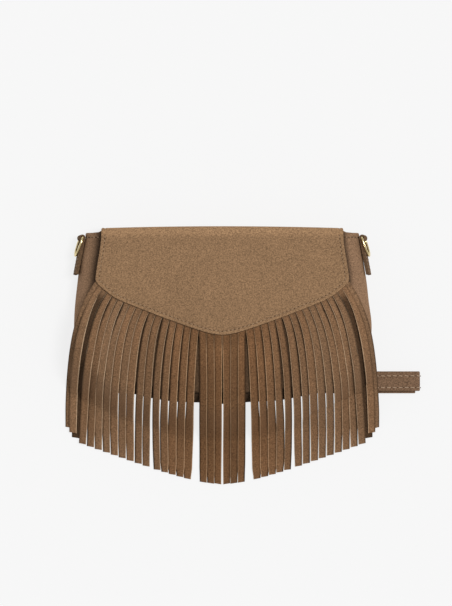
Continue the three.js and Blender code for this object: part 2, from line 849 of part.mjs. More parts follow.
function addTabAndRing(side, name) {
  const frame = tabFrame(side);
  const tab = addMesh(`${name}_tab`, tabGeometry(), suedeBrown);
  tab.position.copy(frame.position);
  tab.quaternion.copy(frame.quaternion);
  const ring = addMesh(`${name}_ring`, ringGeometry(), paleGold);
  const axis = new THREE.Vector3(tabLoopRadius, tabLoopY, 0).applyQuaternion(frame.quaternion);
  const lean = new THREE.Quaternion().setFromAxisAngle(new THREE.Vector3(0, 0, 1), THREE.MathUtils.degToRad(ringLean));
  ring.position.copy(frame.position).add(axis);
  ring.quaternion.copy(frame.quaternion).multiply(lean);
}

// Shoulder strap and the press studs at its two ends

const strapLayerZ = [3, 2, 1, 0].map((level) => strapSheet / 2 + level * strapLayerPitch);

function strapPath() {
  const spots = [];
  const foldRound = strapLayerPitch / 2;
  const [top, third, second, bottom] = strapLayerZ;
  const run = (from, to, z, steps) => {
    for (let k = 0; k <= steps; k += 1) {
      spots.push({ x: mix(from, to, k / steps), z });
    }
  };
  const fold = (x, high, direction) => {
    for (let k = 1; k < 6; k += 1) {
      const turn = Math.PI / 2 - (Math.PI * k) / 6;
      spots.push({ x: x + direction * foldRound * Math.cos(turn), z: high - foldRound + foldRound * Math.sin(turn) });
    }
  };
  const outerRound = foldRound + strapSheet / 2;
  run(strapEndX, strapUpperFoldX - outerRound, top, 6);
  fold(strapUpperFoldX - outerRound, top, 1);
  run(strapUpperFoldX - outerRound, strapLeftFoldX, third, 6);
  fold(strapLeftFoldX, third, -1);
  run(strapLeftFoldX, strapLowerFoldX - outerRound, second, 6);
  fold(strapLowerFoldX - outerRound, second, 1);
  run(strapLowerFoldX - outerRound, strapLeftFoldX - outerRound - gap, bottom, 6);
  spots.push({ x: strapLeftFoldX - outerRound - strapEndRamp, z: bottom + pressCap + gap });
  spots.push({ x: strapEndX, z: bottom + pressCap + gap });
  return spots;
}

function strap() {
  const spots = strapPath();
  const outer = [];
  const inner = [];
  spots.forEach((spot, i) => {
    const before = spots[Math.max(0, i - 1)];
    const after = spots[Math.min(spots.length - 1, i + 1)];
    const length = Math.hypot(after.x - before.x, after.z - before.z);
    const normalX = -(after.z - before.z) / length;
    const normalZ = (after.x - before.x) / length;
    const level = (strapLayerZ[1] - spot.z) / (strapLayerZ[1] - strapLayerZ[2]);
    const y = strapY + strapLowerShift * smooth(level);
    for (const side of [-1, 1]) {
      const edgeY = y + (side * strapWidth) / 2;
      outer.push(new THREE.Vector3(spot.x + normalX * strapSheet / 2, edgeY, spot.z + normalZ * strapSheet / 2));
      inner.push(new THREE.Vector3(spot.x - normalX * strapSheet / 2, edgeY, spot.z - normalZ * strapSheet / 2));
    }
  });
  const band = sheetSolid(outer, inner, gridFaces(spots.length - 1, 1));
  const stemHole = (x, y, z) => new THREE.CylinderGeometry(pressStemRadius + gap, pressStemRadius + gap, 2 * strapSheet, roundSegments)
    .rotateX(Math.PI / 2).translate(x, y, z);
  return cutAway(band, ...pressSpots().map((spot) => stemHole(spot.x, spot.y, spot.z)));
}

// Press studs sit at each end and one loop's length in from it
function pressSpots() {
  const ends = [
    { y: strapY, z: strapLayerZ[0] },
    { y: strapY + strapLowerShift, z: strapLayerZ[3] + pressCap + gap },
  ];
  return ends.flatMap((end, i) => [
    { name: `strap_stud_${i + 1}`, x: strapEndX + strapStudInset, ...end },
    { name: `strap_socket_${i + 1}`, x: strapEndX + strapStudInset + strapLoopLength, ...end },
  ]);
}

// A rivet through the strap with a cap below and a nub, or a hollow for the nub, above
function pressStud() {
  const face = strapSheet / 2 + gap / 2;
  return turned([
    [0, -face - pressCap], [pressCapRadius, -face - pressCap], [pressCapRadius, -face],
    [pressStemRadius, -face], [pressStemRadius, face], [pressCapRadius, face],
    [pressCapRadius, face + pressCap / 2], [pressNubRadius, face + pressCap / 2],
    [pressNubRadius, face + pressCap / 2 + pressNubHeight], [0, face + pressCap / 2 + pressNubHeight],
  ]);
}

function pressSocket() {
  const face = strapSheet / 2 + gap / 2;
  const hollow = pressNubRadius + gap / 2;
  return turned([
    [0, -face - pressCap], [pressCapRadius, -face - pressCap], [pressCapRadius, -face],
    [pressStemRadius, -face], [pressStemRadius, face], [pressCapRadius, face],
    [pressCapRadius, face + pressCap], [hollow, face + pressCap],
    [hollow, face + pressCap - pressNubHeight], [0, face + pressCap - pressNubHeight],
  ]);
}

function addPressStuds() {
  pressSpots().forEach((spot) => {
    const geometry = spot.name.includes('stud') ? pressStud() : pressSocket();
    addMesh(spot.name, geometry, paleGold).position.set(spot.x, spot.y, spot.z);
  });
}

addMesh('back_panel', backPanel(), suedeBrown);
addMesh('front_panel', frontPanel(), suedeBrown);
addMesh('gusset', gusset(), suedeBrown);
addMesh('lining', lining(), liningBrown);
addMesh('flap_top', flapTop(), suedeBrown);
addMesh('flap_front', flapFront(), suedeBrown);
addMesh('flap_stiffener', flapStiffener(), boardGrey);
addMesh('flap_lining', flapLining(), liningBrown);
addMesh('fringe', fringe(), fringeBrown);
addSnap();
addTabAndRing(-1, 'left');
addTabAndRing(1, 'right');
addMesh('strap', strap(), suedeBrown);
addPressStuds();

export default part;
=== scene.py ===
# Fringed suede shoulder bag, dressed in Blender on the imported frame. Shapes are in millimetres and
# become metres when a mesh is made. +Y points to the mouth, +Z out of the bag's front.
import math
import random

import bmesh
import bpy
import numpy as np
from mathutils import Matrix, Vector


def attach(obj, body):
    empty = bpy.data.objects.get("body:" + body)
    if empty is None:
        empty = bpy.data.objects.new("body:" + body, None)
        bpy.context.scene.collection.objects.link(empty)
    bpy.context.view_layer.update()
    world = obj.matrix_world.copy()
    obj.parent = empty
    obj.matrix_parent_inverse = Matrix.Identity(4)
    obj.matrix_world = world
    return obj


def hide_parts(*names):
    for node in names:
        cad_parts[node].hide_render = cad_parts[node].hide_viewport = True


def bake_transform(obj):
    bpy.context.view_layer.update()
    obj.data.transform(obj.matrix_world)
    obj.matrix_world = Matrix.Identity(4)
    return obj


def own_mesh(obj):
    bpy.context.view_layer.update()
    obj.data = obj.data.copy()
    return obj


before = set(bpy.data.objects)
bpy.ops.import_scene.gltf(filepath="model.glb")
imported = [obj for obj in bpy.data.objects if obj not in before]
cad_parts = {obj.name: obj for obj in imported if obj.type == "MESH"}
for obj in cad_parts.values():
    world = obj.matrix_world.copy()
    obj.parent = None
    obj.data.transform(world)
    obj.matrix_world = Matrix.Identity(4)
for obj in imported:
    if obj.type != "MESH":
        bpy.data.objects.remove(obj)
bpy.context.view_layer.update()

MM = 0.001

# Sheets, as in the frame
GAP = 0.3
CURVE_SLACK = 0.3
BODY_SUEDE = 1.4
FLAP_SUEDE = 1.4
FLAP_TOP_SHEET = 2.4
FRINGE_SUEDE = 1.2
LINING_CLOTH = 0.7
FLAP_LINING_SKIN = 0.8
FILLER_LAYER = 1.2
LAYER = BODY_SUEDE + GAP

# Body, as in the frame
BODY_HALF_WIDTH = 116
MOUTH_TAPER = 10
MOUTH_Y = 65
SHOULDER_Y = -18
BOTTOM_REACH = 50.3
BOTTOM_ROUNDNESS = 2.3
BODY_DEPTH = 42
MOUTH_DEPTH = 30
FRONT_CROWN = 4
SIDE_INSET = 15
BOTTOM_INSET = 7
BACK_INSET_SHARE = 0.35
BULGE_SHARE = 0.4
BULGE_POWER = 2.2
SEAM_FLANGE = 5
LINING_STAND_OFF = 4.5

# Flap, as in the frame, with its corners a little wider and less round
FOLD_RADIUS = 5
HINGE_Y = 70
FLAP_TOP_HALF_WIDTH = 94.4
FLAP_HALF_WIDTH = 99
FLAP_WIDENING_LENGTH = 40
FLAP_TOP_BOW = 1.5
FLAP_TIP_Y = -14.8
FLAP_TIP_ROUND = 12
FLAP_SLOPE = 0.365
FLAP_BOW = 0.0003
CORNER_REACH = 20
CORNER_RISE = 6.8
CORNER_POWER = 1.8
CORNER_TURN = 2
FLAP_REST = 0.4
SNAP_Y = 8
SNAP_RADIUS = 8.5
SNAP_CLOSED = 4.4
SNAP_BULGE_RADIUS = 34

# Fringe, as in the frame
STRIPS_EACH_SIDE = 20
HEADER_DEPTH = 6
HEADER_MARGIN = 1
HEADER_CORNER_RADIUS = 7
CENTRE_STRIPS = 3
INNER_STRIPS = 8
SPREAD_STRIPS = 17
LONGEST_TIP_Y = -131
TIP_SLOPE = 0.37
TIP_ROUND = 28
FALL_START = 6
FALL_LENGTH = 32
STRIP_REST = 0.6
HEADER_SHARE = 0.12
UPPER_LAYER_RISE = 2.1
UPPER_LAYER_REACH = 3.8
UPPER_LAYER_SHARE = 0.25
EDGE_TIP_RISE = 3

# Tabs and rings, as in the frame
TAB_WIDTH = 10.5
TAB_TOP_Y = 63
TAB_LENGTH = 31.5
TAB_SUEDE = 1.3
TAB_SHARE = 0.48
RING_WIRE_RADIUS = 0.9
RING_HALF_WIDTH = 6.8
RING_DROP = 14.6
RING_LEAN = 8
RING_BORE_CLEARANCE = 0.25
TAB_BORE = RING_WIRE_RADIUS + RING_BORE_CLEARANCE
TAB_LOOP_RADIUS = TAB_BORE + TAB_SUEDE
TAB_LOOP_Y = TAB_LENGTH / 2 - TAB_LOOP_RADIUS

# Strap, as in the frame
STRAP_WIDTH = 15.3
STRAP_SHEET = 2.2
STRAP_Y = -50.85
STRAP_LOWER_SHIFT = -1.8
STRAP_UPPER_FOLD_X = 154.2
STRAP_LOWER_FOLD_X = 150.6
STRAP_LEFT_FOLD_X = -38
STRAP_END_X = -87
STRAP_RAMP_LENGTH = 20
BRIDGE_WIDENING = 3.5
PRESS_CAP = 0.8
STRAP_PITCH = STRAP_SHEET + GAP
STRAP_STACK = 3 * STRAP_PITCH + STRAP_SHEET
STRAP_ROOF = STRAP_STACK + PRESS_CAP + 2 * GAP
STRAP_MID_Y = STRAP_Y + STRAP_LOWER_SHIFT / 2
STRAP_HALF_SPAN = (STRAP_WIDTH - STRAP_LOWER_SHIFT) / 2

# Stitches
STITCH_PITCH = 3.3
STITCH_LENGTH = 2.1
STITCH_RADIUS = 0.24
STITCH_INSET = 2.9
STITCH_SIDES = 6
HOLE_SIDES = 8
STITCH_SECTIONS = (-0.5, -0.42, -0.2, 0.2, 0.42, 0.5)
TAB_STITCH_INSET = 1.6
TAB_STITCH_PITCH = 2.6
TAB_STITCH_LENGTH = 1.7
TAB_STITCH_RADIUS = 0.2
STRAP_LOW_INSET = 2.7
STRAP_HIGH_INSET = 3.5
STRAP_STITCH_START_X = 60
STRAP_STITCH_PITCH = 4.5
STRAP_STITCH_LENGTH = 3.4
STRAP_STITCH_RADIUS = 0.25
STRAP_STITCH_SLANT = 0.12

# Turned edges, the flap's lining, its painted highlights and the painted shadow line under its edge
EDGE_ROUND = 0.9
# The painted shadow line under the flap's edge: how far it stands proud, how deep, how high and how low
EDGE_SHADOW_PROUD = 0.15
EDGE_SHADOW_DEPTH = 1.2
EDGE_SHADOW_HEIGHT = 0.7
EDGE_SHADOW_DROP = 0.15
LINING_MARGIN = 1.5
# Painted highlights on the flap: along the front fold and along the turned rim
FOLD_HIGHLIGHT = 0.26
RIM_HIGHLIGHT = 0.14


def clamp01(value):
    return np.clip(value, 0, 1)


def smooth(value):
    t = clamp01(value)
    return t * t * (3 - 2 * t)


def mix(a, b, share):
    return a + (b - a) * share


def ripple(x, y, seed, length, count=7):
    """Soft seeded unevenness between about -1 and 1, with waves near the given length."""
    source = random.Random(seed)
    total = 0
    for _ in range(count):
        turn = source.uniform(0, 2 * math.pi)
        wave = 2 * math.pi / (length * source.uniform(0.6, 1.7))
        phase = source.uniform(0, 2 * math.pi)
        total = total + np.sin(wave * (x * math.cos(turn) + y * math.sin(turn)) + phase)
    return total / math.sqrt(count)


# The body's shape

def rise01(y):
    return np.maximum(0, (y - SHOULDER_Y) / (MOUTH_Y - SHOULDER_Y))


def side_half_width(y):
    return BODY_HALF_WIDTH - MOUTH_TAPER * rise01(y) ** 2


def seam_height(y):
    return BODY_DEPTH - (BODY_DEPTH - MOUTH_DEPTH) * rise01(y) ** 1.5


def ridge(y, half_span, ramp):
    return 1 - smooth((np.abs(y - STRAP_MID_Y) - half_span) / ramp)


def back_height(y, widenings):
    half_span = STRAP_HALF_SPAN + BRIDGE_WIDENING * (1 + widenings)
    return STRAP_ROOF * ridge(y, half_span, STRAP_RAMP_LENGTH)


def panel_half_width(y, seam_share, inward):
    return side_half_width(np.maximum(y, SHOULDER_Y)) - SIDE_INSET * seam_share - inward


def crown(x, y):
    across = 1 - (x / panel_half_width(y, 1, 0)) ** 2
    seam_bottom_y = SHOULDER_Y - BOTTOM_REACH + BOTTOM_INSET
    along = np.sin(math.pi * clamp01((y - seam_bottom_y) / (MOUTH_Y - seam_bottom_y)))
    return FRONT_CROWN * np.maximum(0, across) * along


def panel_top(x, y):
    return seam_height(y) + crown(x, y)


def wall_share(height):
    high = (np.maximum(height - BULGE_SHARE, 0) / (1 - BULGE_SHARE)) ** BULGE_POWER
    low = BACK_INSET_SHARE * (np.maximum(BULGE_SHARE - height, 0) / BULGE_SHARE) ** BULGE_POWER
    return np.where(height > BULGE_SHARE, high, low)


def outline_xy(turn_or_side, seam_share, inward, top_y):
    """Point of the body's outline: the value runs from 0 at the left of the mouth by 1 and 2 at the
    two shoulders to 3 at the right of the mouth."""
    t = np.asarray(turn_or_side, float)
    turn = math.pi * clamp01(t - 1)
    power = 2 / BOTTOM_ROUNDNESS
    half_width = BODY_HALF_WIDTH - SIDE_INSET * seam_share - inward
    reach = BOTTOM_REACH - BOTTOM_INSET * seam_share - inward
    bottom_x = -half_width * np.sign(np.cos(turn)) * np.abs(np.cos(turn)) ** power
    bottom_y = SHOULDER_Y - reach * np.abs(np.sin(turn)) ** power
    down = np.where(t < 1, t, 3 - t)
    side_y = mix(top_y, SHOULDER_Y, clamp01(down))
    side_x = np.where(t < 1.5, -1, 1) * (side_half_width(side_y) - SIDE_INSET * seam_share - inward)
    on_side = (t < 1) | (t > 2)
    return np.where(on_side, side_x, bottom_x), np.where(on_side, side_y, bottom_y)


# The flap's shape

def flap_lift(x, y):
    reach = clamp01((np.hypot(x, y - SNAP_Y) - 1.5 * SNAP_RADIUS) / SNAP_BULGE_RADIUS)
    return FLAP_REST + (SNAP_CLOSED - FLAP_REST) * (1 - reach ** 2) ** 2


def flap_lining_under(x, y):
    return panel_top(x, y) + flap_lift(x, y)


def filler_under(x, y):
    return flap_lining_under(x, y) + FLAP_LINING_SKIN + GAP + CURVE_SLACK


def flap_under(x, y):
    return filler_under(x, y) + FILLER_LAYER + GAP + CURVE_SLACK


FOLD_Z = float(flap_under(0.0, float(MOUTH_Y)) + FLAP_SUEDE)


def flap_half_at(y):
    return mix(FLAP_TOP_HALF_WIDTH, FLAP_HALF_WIDTH, smooth((MOUTH_Y - y) / FLAP_WIDENING_LENGTH))


def edge_y(x, corner_radius):
    along = np.abs(x)
    past = np.clip(along - FLAP_HALF_WIDTH + corner_radius, 0, corner_radius)
    corner_rise = corner_radius - np.sqrt(corner_radius ** 2 - past ** 2)
    sweep = FLAP_SLOPE * (np.hypot(along, FLAP_TIP_ROUND) - FLAP_TIP_ROUND)
    return FLAP_TIP_Y + sweep + FLAP_BOW * along ** 2 + corner_rise


def flap_edge_y(x):
    sweep_up = clamp01((np.abs(x) - FLAP_HALF_WIDTH + CORNER_REACH) / CORNER_REACH) ** CORNER_POWER
    return edge_y(x, CORNER_TURN) + CORNER_RISE * sweep_up


def top_bow(x):
    return FLAP_TOP_BOW * (x / FLAP_TOP_HALF_WIDTH) ** 2


# Meshes

def grid_faces(columns, rows, start=0, flip=False):
    faces = []
    for i in range(columns - 1):
        for k in range(rows - 1):
            a = start + i * rows + k
            b = a + rows
            face = (a, b, b + 1, a + 1)
            faces.append(face[::-1] if flip else face)
    return faces


def tube_faces(rings, sides, start=0, closed=False, flip=False):
    """Faces of a tube through rings of points, which are listed ring by ring."""
    faces = []
    for i in range(rings if closed else rings - 1):
        here = start + i * sides
        there = start + (i + 1) % rings * sides
        for j in range(sides):
            k = (j + 1) % sides
            if flip:
                faces.append((here + j, there + j, there + k, here + k))
            else:
                faces.append((here + j, here + k, there + k, there + j))
    return faces


def make_object(name, points, faces, materials, face_slots=None, sharp_angle=50):
    mesh = bpy.data.meshes.new(name)
    mesh.from_pydata((np.asarray(points, float) * MM).tolist(), [], faces)
    for material in materials:
        mesh.materials.append(material)
    if face_slots is not None:
        mesh.polygons.foreach_set("material_index", np.asarray(face_slots, np.int32))
    work = bmesh.new()
    work.from_mesh(mesh)
    bmesh.ops.remove_doubles(work, verts=work.verts, dist=1e-7)
    bmesh.ops.dissolve_degenerate(work, edges=work.edges, dist=1e-8)
    bmesh.ops.recalc_face_normals(work, faces=work.faces)
    work.to_mesh(mesh)
    work.free()
    mesh.shade_smooth()
    mesh.set_sharp_from_angle(angle=math.radians(sharp_angle))
    obj = bpy.data.objects.new(name, mesh)
    bpy.context.collection.objects.link(obj)
    return obj


def paint(obj, tint):
    """Colour tone of every vertex, from a function of its place in millimetres."""
    mesh = obj.data
    places = np.empty(len(mesh.vertices) * 3, np.float32)
    mesh.vertices.foreach_get("co", places)
    places = places.reshape(-1, 3) / MM
    tone = tint(places[:, 0], places[:, 1], places[:, 2])
    colours = np.stack([tone, tone, tone, np.ones(len(tone))], axis=1)
    attribute = mesh.color_attributes.new("tone", "FLOAT_COLOR", "POINT")
    attribute.data.foreach_set("color", colours.astype(np.float32).ravel())


def unit(vectors):
    """Vectors, along the last axis, brought to length one."""
    return vectors / np.maximum(np.linalg.norm(vectors, axis=-1, keepdims=True), 1e-9)


def grid_normals(points):
    return unit(np.cross(np.gradient(points, axis=0), np.gradient(points, axis=1)))


def sheet_from_grid(name, outer, thickness, edge_distance, materials, detail=None, under_slot=None,
                    face_up=None):
    """A sheet with rounded edges. outer is its outer face, edge_distance the distance to its nearest
    free edge, both on one grid; detail is added to the outer face."""
    columns, rows = outer.shape[:2]
    normals = grid_normals(outer)
    if face_up is not None and np.mean(np.sum(normals * np.asarray(face_up, float), axis=2)) < 0:
        normals = -normals
    round_share = clamp01(edge_distance / EDGE_ROUND)
    half = (np.asarray(thickness) / 2) * np.sqrt(np.maximum(0, 1 - (1 - round_share) ** 2))
    middle = outer - normals * (np.asarray(thickness) / 2)[..., None]
    lift = half if detail is None else half + detail * round_share
    top = middle + normals * np.asarray(lift)[..., None]
    bottom = middle - normals * np.asarray(half)[..., None]
    count = columns * rows
    faces = grid_faces(columns, rows)
    slots = [0] * len(faces)
    low_faces = grid_faces(columns, rows, start=count, flip=True)
    if under_slot is None:
        slots += [0] * len(low_faces)
    else:
        slots += under_slot(columns, rows)
    faces += low_faces
    border = [(i, 0) for i in range(columns)]
    border += [(columns - 1, k) for k in range(1, rows)]
    border += [(i, rows - 1) for i in range(columns - 2, -1, -1)]
    border += [(0, k) for k in range(rows - 2, 0, -1)]
    ring = [i * rows + k for i, k in border]
    for position, a in enumerate(ring):
        b = ring[(position + 1) % len(ring)]
        faces.append((b, a, a + count, b + count))
        slots.append(0)
    points = np.concatenate([top.reshape(-1, 3), bottom.reshape(-1, 3)])
    return make_object(name, points, faces, materials, slots)


def spaced(start, end, step, fine=()):
    """Values from start to end about a step apart, with fine offsets from start put in first."""
    first = start + math.copysign(max(fine), end - start) if fine else start
    count = max(2, int(round(abs(end - first) / step)) + 1)
    coarse = np.linspace(first, end, count)
    if not fine:
        return coarse
    small = start + math.copysign(1, end - start) * np.array(fine)
    return np.concatenate([small[:-1], coarse])


def polyline_distance(x, y, line):
    """Distance of each point of a grid to a polyline."""
    spots = np.stack([x.ravel(), y.ravel()], axis=1)
    best = np.full(len(spots), 1e9)
    for a, b in zip(line[:-1], line[1:]):
        span = b - a
        size = float(span @ span)
        t = clamp01(((spots - a) @ span) / max(size, 1e-12))
        best = np.minimum(best, np.linalg.norm(spots - (a + t[:, None] * span), axis=1))
    return best.reshape(x.shape)


def stitch_row(name, path, normals, thread, hole, seed, pitch=STITCH_PITCH, length=STITCH_LENGTH,
               radius=STITCH_RADIUS, slant=0.0):
    """One mesh of stitches along a path: each is a thread that rises out of the suede and dips back, with a
    dark disc of painted shade in the needle hole at each end.
    """
    source = random.Random(seed)
    path = np.asarray(path, float)
    normals = np.asarray(normals, float)
    both = np.concatenate([path, normals], axis=1)
    place, along = spots_along(both, pitch)
    points = []
    faces = []
    slots = []
    sides = STITCH_SIDES
    for spot, tangent in zip(place, along):
        centre = spot[:3]
        up = spot[3:] / np.linalg.norm(spot[3:])
        right = np.cross(tangent, up)
        turn = slant + source.uniform(-0.05, 0.05)
        direction = tangent * math.cos(turn) + right * math.sin(turn)
        side = np.cross(direction, up)
        base = len(points)
        for share in STITCH_SECTIONS:
            arch = 1 - (2 * share) ** 4
            mid = centre + direction * (length * share) + up * (radius * (0.9 * arch - 0.35))
            width = radius * (0.45 + 0.55 * arch)
            for j in range(sides):
                angle = 2 * math.pi * j / sides
                points.append(mid + side * (width * 1.15 * math.cos(angle)) + up * (width * math.sin(angle)))
        faces += tube_faces(len(STITCH_SECTIONS), sides, base)
        faces.append(tuple(base + j for j in reversed(range(sides))))
        faces.append(tuple(base + (len(STITCH_SECTIONS) - 1) * sides + j for j in range(sides)))
        slots += [0] * (len(faces) - len(slots))
        # Needle holes, in the dark material of painted shade
        for end in (-1, 1):
            middle = centre + direction * (end * (length / 2 + radius * 0.6)) + up * 0.05
            start = len(points)
            points.append(middle + up * 0.06)
            for j in range(HOLE_SIDES):
                angle = 2 * math.pi * j / HOLE_SIDES
                rim = direction * math.cos(angle) * radius * 2.1 + side * math.sin(angle) * radius * 1.9
                points.append(middle + rim - up * 0.16)
            for j in range(HOLE_SIDES):
                faces.append((start, start + 1 + j, start + 1 + (j + 1) % HOLE_SIDES))
                slots.append(1)
    return make_object(name, points, faces, [thread, hole], slots)


def spots_along(both, pitch):
    """Spots a pitch apart along a path whose points carry their normals, with the direction there."""
    steps = np.linalg.norm(np.diff(both[:, :3], axis=0), axis=1)
    length = np.concatenate([[0], np.cumsum(steps)])
    count = max(1, int(length[-1] / pitch))
    spots = (np.arange(count) + 0.5) * (length[-1] / count)
    place = np.stack([np.interp(spots, length, both[:, k]) for k in range(6)], axis=1)
    ahead = np.stack([np.interp(spots + 0.2, length, both[:, k]) for k in range(3)], axis=1)
    behind = np.stack([np.interp(spots - 0.2, length, both[:, k]) for k in range(3)], axis=1)
    return place, unit(ahead - behind)


# Materials

# How fine each texture is: waves or cells to a metre
NAP_SCALE = 1050
ROUGH_NAP_SCALE = 1500
PATCH_SCALE = 45
PEBBLE_SCALE = 900
WEAVE_SCALE = 420
MARK_SCALE = 500
TWIST_SCALE = 700


def linear(rgb):
    """Colour from 0 to 255 as a display shows it, as Blender's linear values."""
    values = []
    for channel in rgb:
        c = channel / 255
        values.append(c / 12.92 if c <= 0.04045 else ((c + 0.055) / 1.055) ** 2.4)
    return (*values, 1)


def shaded(rgb, gain):
    """A display colour made darker or lighter, as linear values."""
    return (*[min(1, channel * gain) for channel in linear(rgb)[:3]], 1)


def bare_material(name):
    material = bpy.data.materials.new(name)
    material.use_nodes = True
    nodes = material.node_tree.nodes
    links = material.node_tree.links
    coordinates = nodes.new("ShaderNodeTexCoord").outputs["Object"]
    return material, nodes, links, nodes["Principled BSDF"], coordinates


def add_bump(nodes, links, shader, height, strength, distance, invert=False):
    bump = nodes.new("ShaderNodeBump")
    bump.invert = invert
    bump.inputs["Strength"].default_value = strength
    bump.inputs["Distance"].default_value = distance
    links.new(height, bump.inputs["Height"])
    links.new(bump.outputs["Normal"], shader.inputs["Normal"])


def noise(nodes, links, coordinates, scale, detail, roughness=0.5):
    node = nodes.new("ShaderNodeTexNoise")
    node.inputs["Scale"].default_value = scale
    node.inputs["Detail"].default_value = detail
    node.inputs["Roughness"].default_value = roughness
    links.new(coordinates, node.inputs["Vector"])
    return node.outputs["Fac"]


def ramp(nodes, links, factor, low, high, dark, light):
    node = nodes.new("ShaderNodeValToRGB")
    node.color_ramp.elements[0].position = low
    node.color_ramp.elements[0].color = dark
    node.color_ramp.elements[1].position = high
    node.color_ramp.elements[1].color = light
    links.new(factor, node.inputs["Fac"])
    return node.outputs["Color"]


def multiply(nodes, links, a, b, share=1.0):
    node = nodes.new("ShaderNodeMix")
    node.data_type = "RGBA"
    node.blend_type = "MULTIPLY"
    node.inputs["Factor"].default_value = share
    links.new(a, node.inputs[6])
    links.new(b, node.inputs[7])
    return node.outputs[2]


def suede(name, rgb, contrast=0.38, patches=0.07, sheen=0.3, toned=False, nap=1.0):
    """Brushed suede: a fine nap, larger brushed patches, a soft sheen and a fine uneven surface."""
    material, nodes, links, shader, coordinates = bare_material(name)
    fine = noise(nodes, links, coordinates, NAP_SCALE * nap, 2, 0.5)
    colour = ramp(nodes, links, fine, 0.3, 0.7, shaded(rgb, 1 - contrast), shaded(rgb, 1 + contrast))
    broad = noise(nodes, links, coordinates, PATCH_SCALE, 3, 0.6)
    brushed = (1 - patches, 1 - patches, 1 - patches, 1)
    patch = ramp(nodes, links, broad, 0.3, 0.7, brushed, (1, 1, 1, 1))
    colour = multiply(nodes, links, colour, patch)
    # The tone attribute brings in the painted shade and painted highlights of the panel, gusset, flap and
    # fringe, with the fringe's own varied tones
    if toned:
        tone = nodes.new("ShaderNodeAttribute")
        tone.attribute_name = "tone"
        colour = multiply(nodes, links, colour, tone.outputs["Color"])
    links.new(colour, shader.inputs["Base Color"])
    shader.inputs["Roughness"].default_value = 0.95
    shader.inputs["Specular IOR Level"].default_value = 0.12
    shader.inputs["Sheen Weight"].default_value = sheen
    shader.inputs["Sheen Roughness"].default_value = 0.55
    shader.inputs["Sheen Tint"].default_value = linear([min(255, c * 1.25) for c in rgb])
    height = noise(nodes, links, coordinates, ROUGH_NAP_SCALE * nap, 3, 0.7)
    add_bump(nodes, links, shader, height, 0.5, 0.0003)
    return material


def skin(name, rgb):
    """Thin smooth leather with a fine pebble grain."""
    material, nodes, links, shader, coordinates = bare_material(name)
    cells = nodes.new("ShaderNodeTexVoronoi")
    cells.inputs["Scale"].default_value = PEBBLE_SCALE
    links.new(coordinates, cells.inputs["Vector"])
    pebbles = cells.outputs["Distance"]
    colour = ramp(nodes, links, pebbles, 0.0, 0.7, shaded(rgb, 1.06), shaded(rgb, 0.88))
    links.new(colour, shader.inputs["Base Color"])
    shader.inputs["Roughness"].default_value = 0.55
    add_bump(nodes, links, shader, pebbles, 0.35, 0.0002, invert=True)
    return material


def thread_waves(nodes, links, coordinates, direction, scale, distortion=0.0):
    wave = nodes.new("ShaderNodeTexWave")
    wave.bands_direction = direction
    wave.inputs["Scale"].default_value = scale
    wave.inputs["Distortion"].default_value = distortion
    links.new(coordinates, wave.inputs["Vector"])
    return wave.outputs["Fac"]


def cloth(name, rgb):
    """Plain woven lining: two crossed waves of threads."""
    material, nodes, links, shader, coordinates = bare_material(name)
    threads = [thread_waves(nodes, links, coordinates, way, WEAVE_SCALE, 0.4) for way in ("X", "Y")]
    cross = nodes.new("ShaderNodeMath")
    cross.operation = "MULTIPLY"
    links.new(threads[0], cross.inputs[0])
    links.new(threads[1], cross.inputs[1])
    colour = ramp(nodes, links, cross.outputs[0], 0.05, 0.8, shaded(rgb, 0.75), shaded(rgb, 1.15))
    links.new(colour, shader.inputs["Base Color"])
    shader.inputs["Roughness"].default_value = 0.85
    add_bump(nodes, links, shader, cross.outputs[0], 0.4, 0.0002)
    return material


def gold(name, rgb):
    """Polished pale gold plating with faint handling marks."""
    material, nodes, links, shader, coordinates = bare_material(name)
    marks = noise(nodes, links, coordinates, MARK_SCALE, 3)
    colour = ramp(nodes, links, marks, 0.35, 0.65, shaded(rgb, 0.93), shaded(rgb, 1.04))
    links.new(colour, shader.inputs["Base Color"])
    shader.inputs["Metallic"].default_value = 1
    rough = nodes.new("ShaderNodeMapRange")
    rough.inputs["To Min"].default_value = 0.12
    rough.inputs["To Max"].default_value = 0.26
    links.new(marks, rough.inputs["Value"])
    links.new(rough.outputs["Result"], shader.inputs["Roughness"])
    return material


def thread_material(name, rgb):
    """Twisted sewing thread."""
    material, nodes, links, shader, coordinates = bare_material(name)
    twist = thread_waves(nodes, links, coordinates, "DIAGONAL", TWIST_SCALE)
    colour = ramp(nodes, links, twist, 0.2, 0.8, shaded(rgb, 0.85), shaded(rgb, 1.08))
    links.new(colour, shader.inputs["Base Color"])
    shader.inputs["Roughness"].default_value = 0.7
    return material


flap_suede = suede("flap_suede", (140, 110, 81), contrast=0.42, toned=True)
body_suede = suede("body_suede", (134, 106, 80))
gusset_suede = suede("gusset_suede", (139, 109, 84), toned=True)
# The tabs' suede is darker than the body's, as painted shade for their outward faces, turned from the light
tab_shaded_suede = suede("tab_shaded_suede", (97, 75, 55))
# The front panel's suede is a little darker than the body's, as painted shade where the flap and fringe
# cover it
panel_suede = suede("panel_suede", (126, 98, 73), toned=True)
strip_suede = suede("fringe_suede", (119, 89, 63), contrast=0.42, toned=True, patches=0.12)
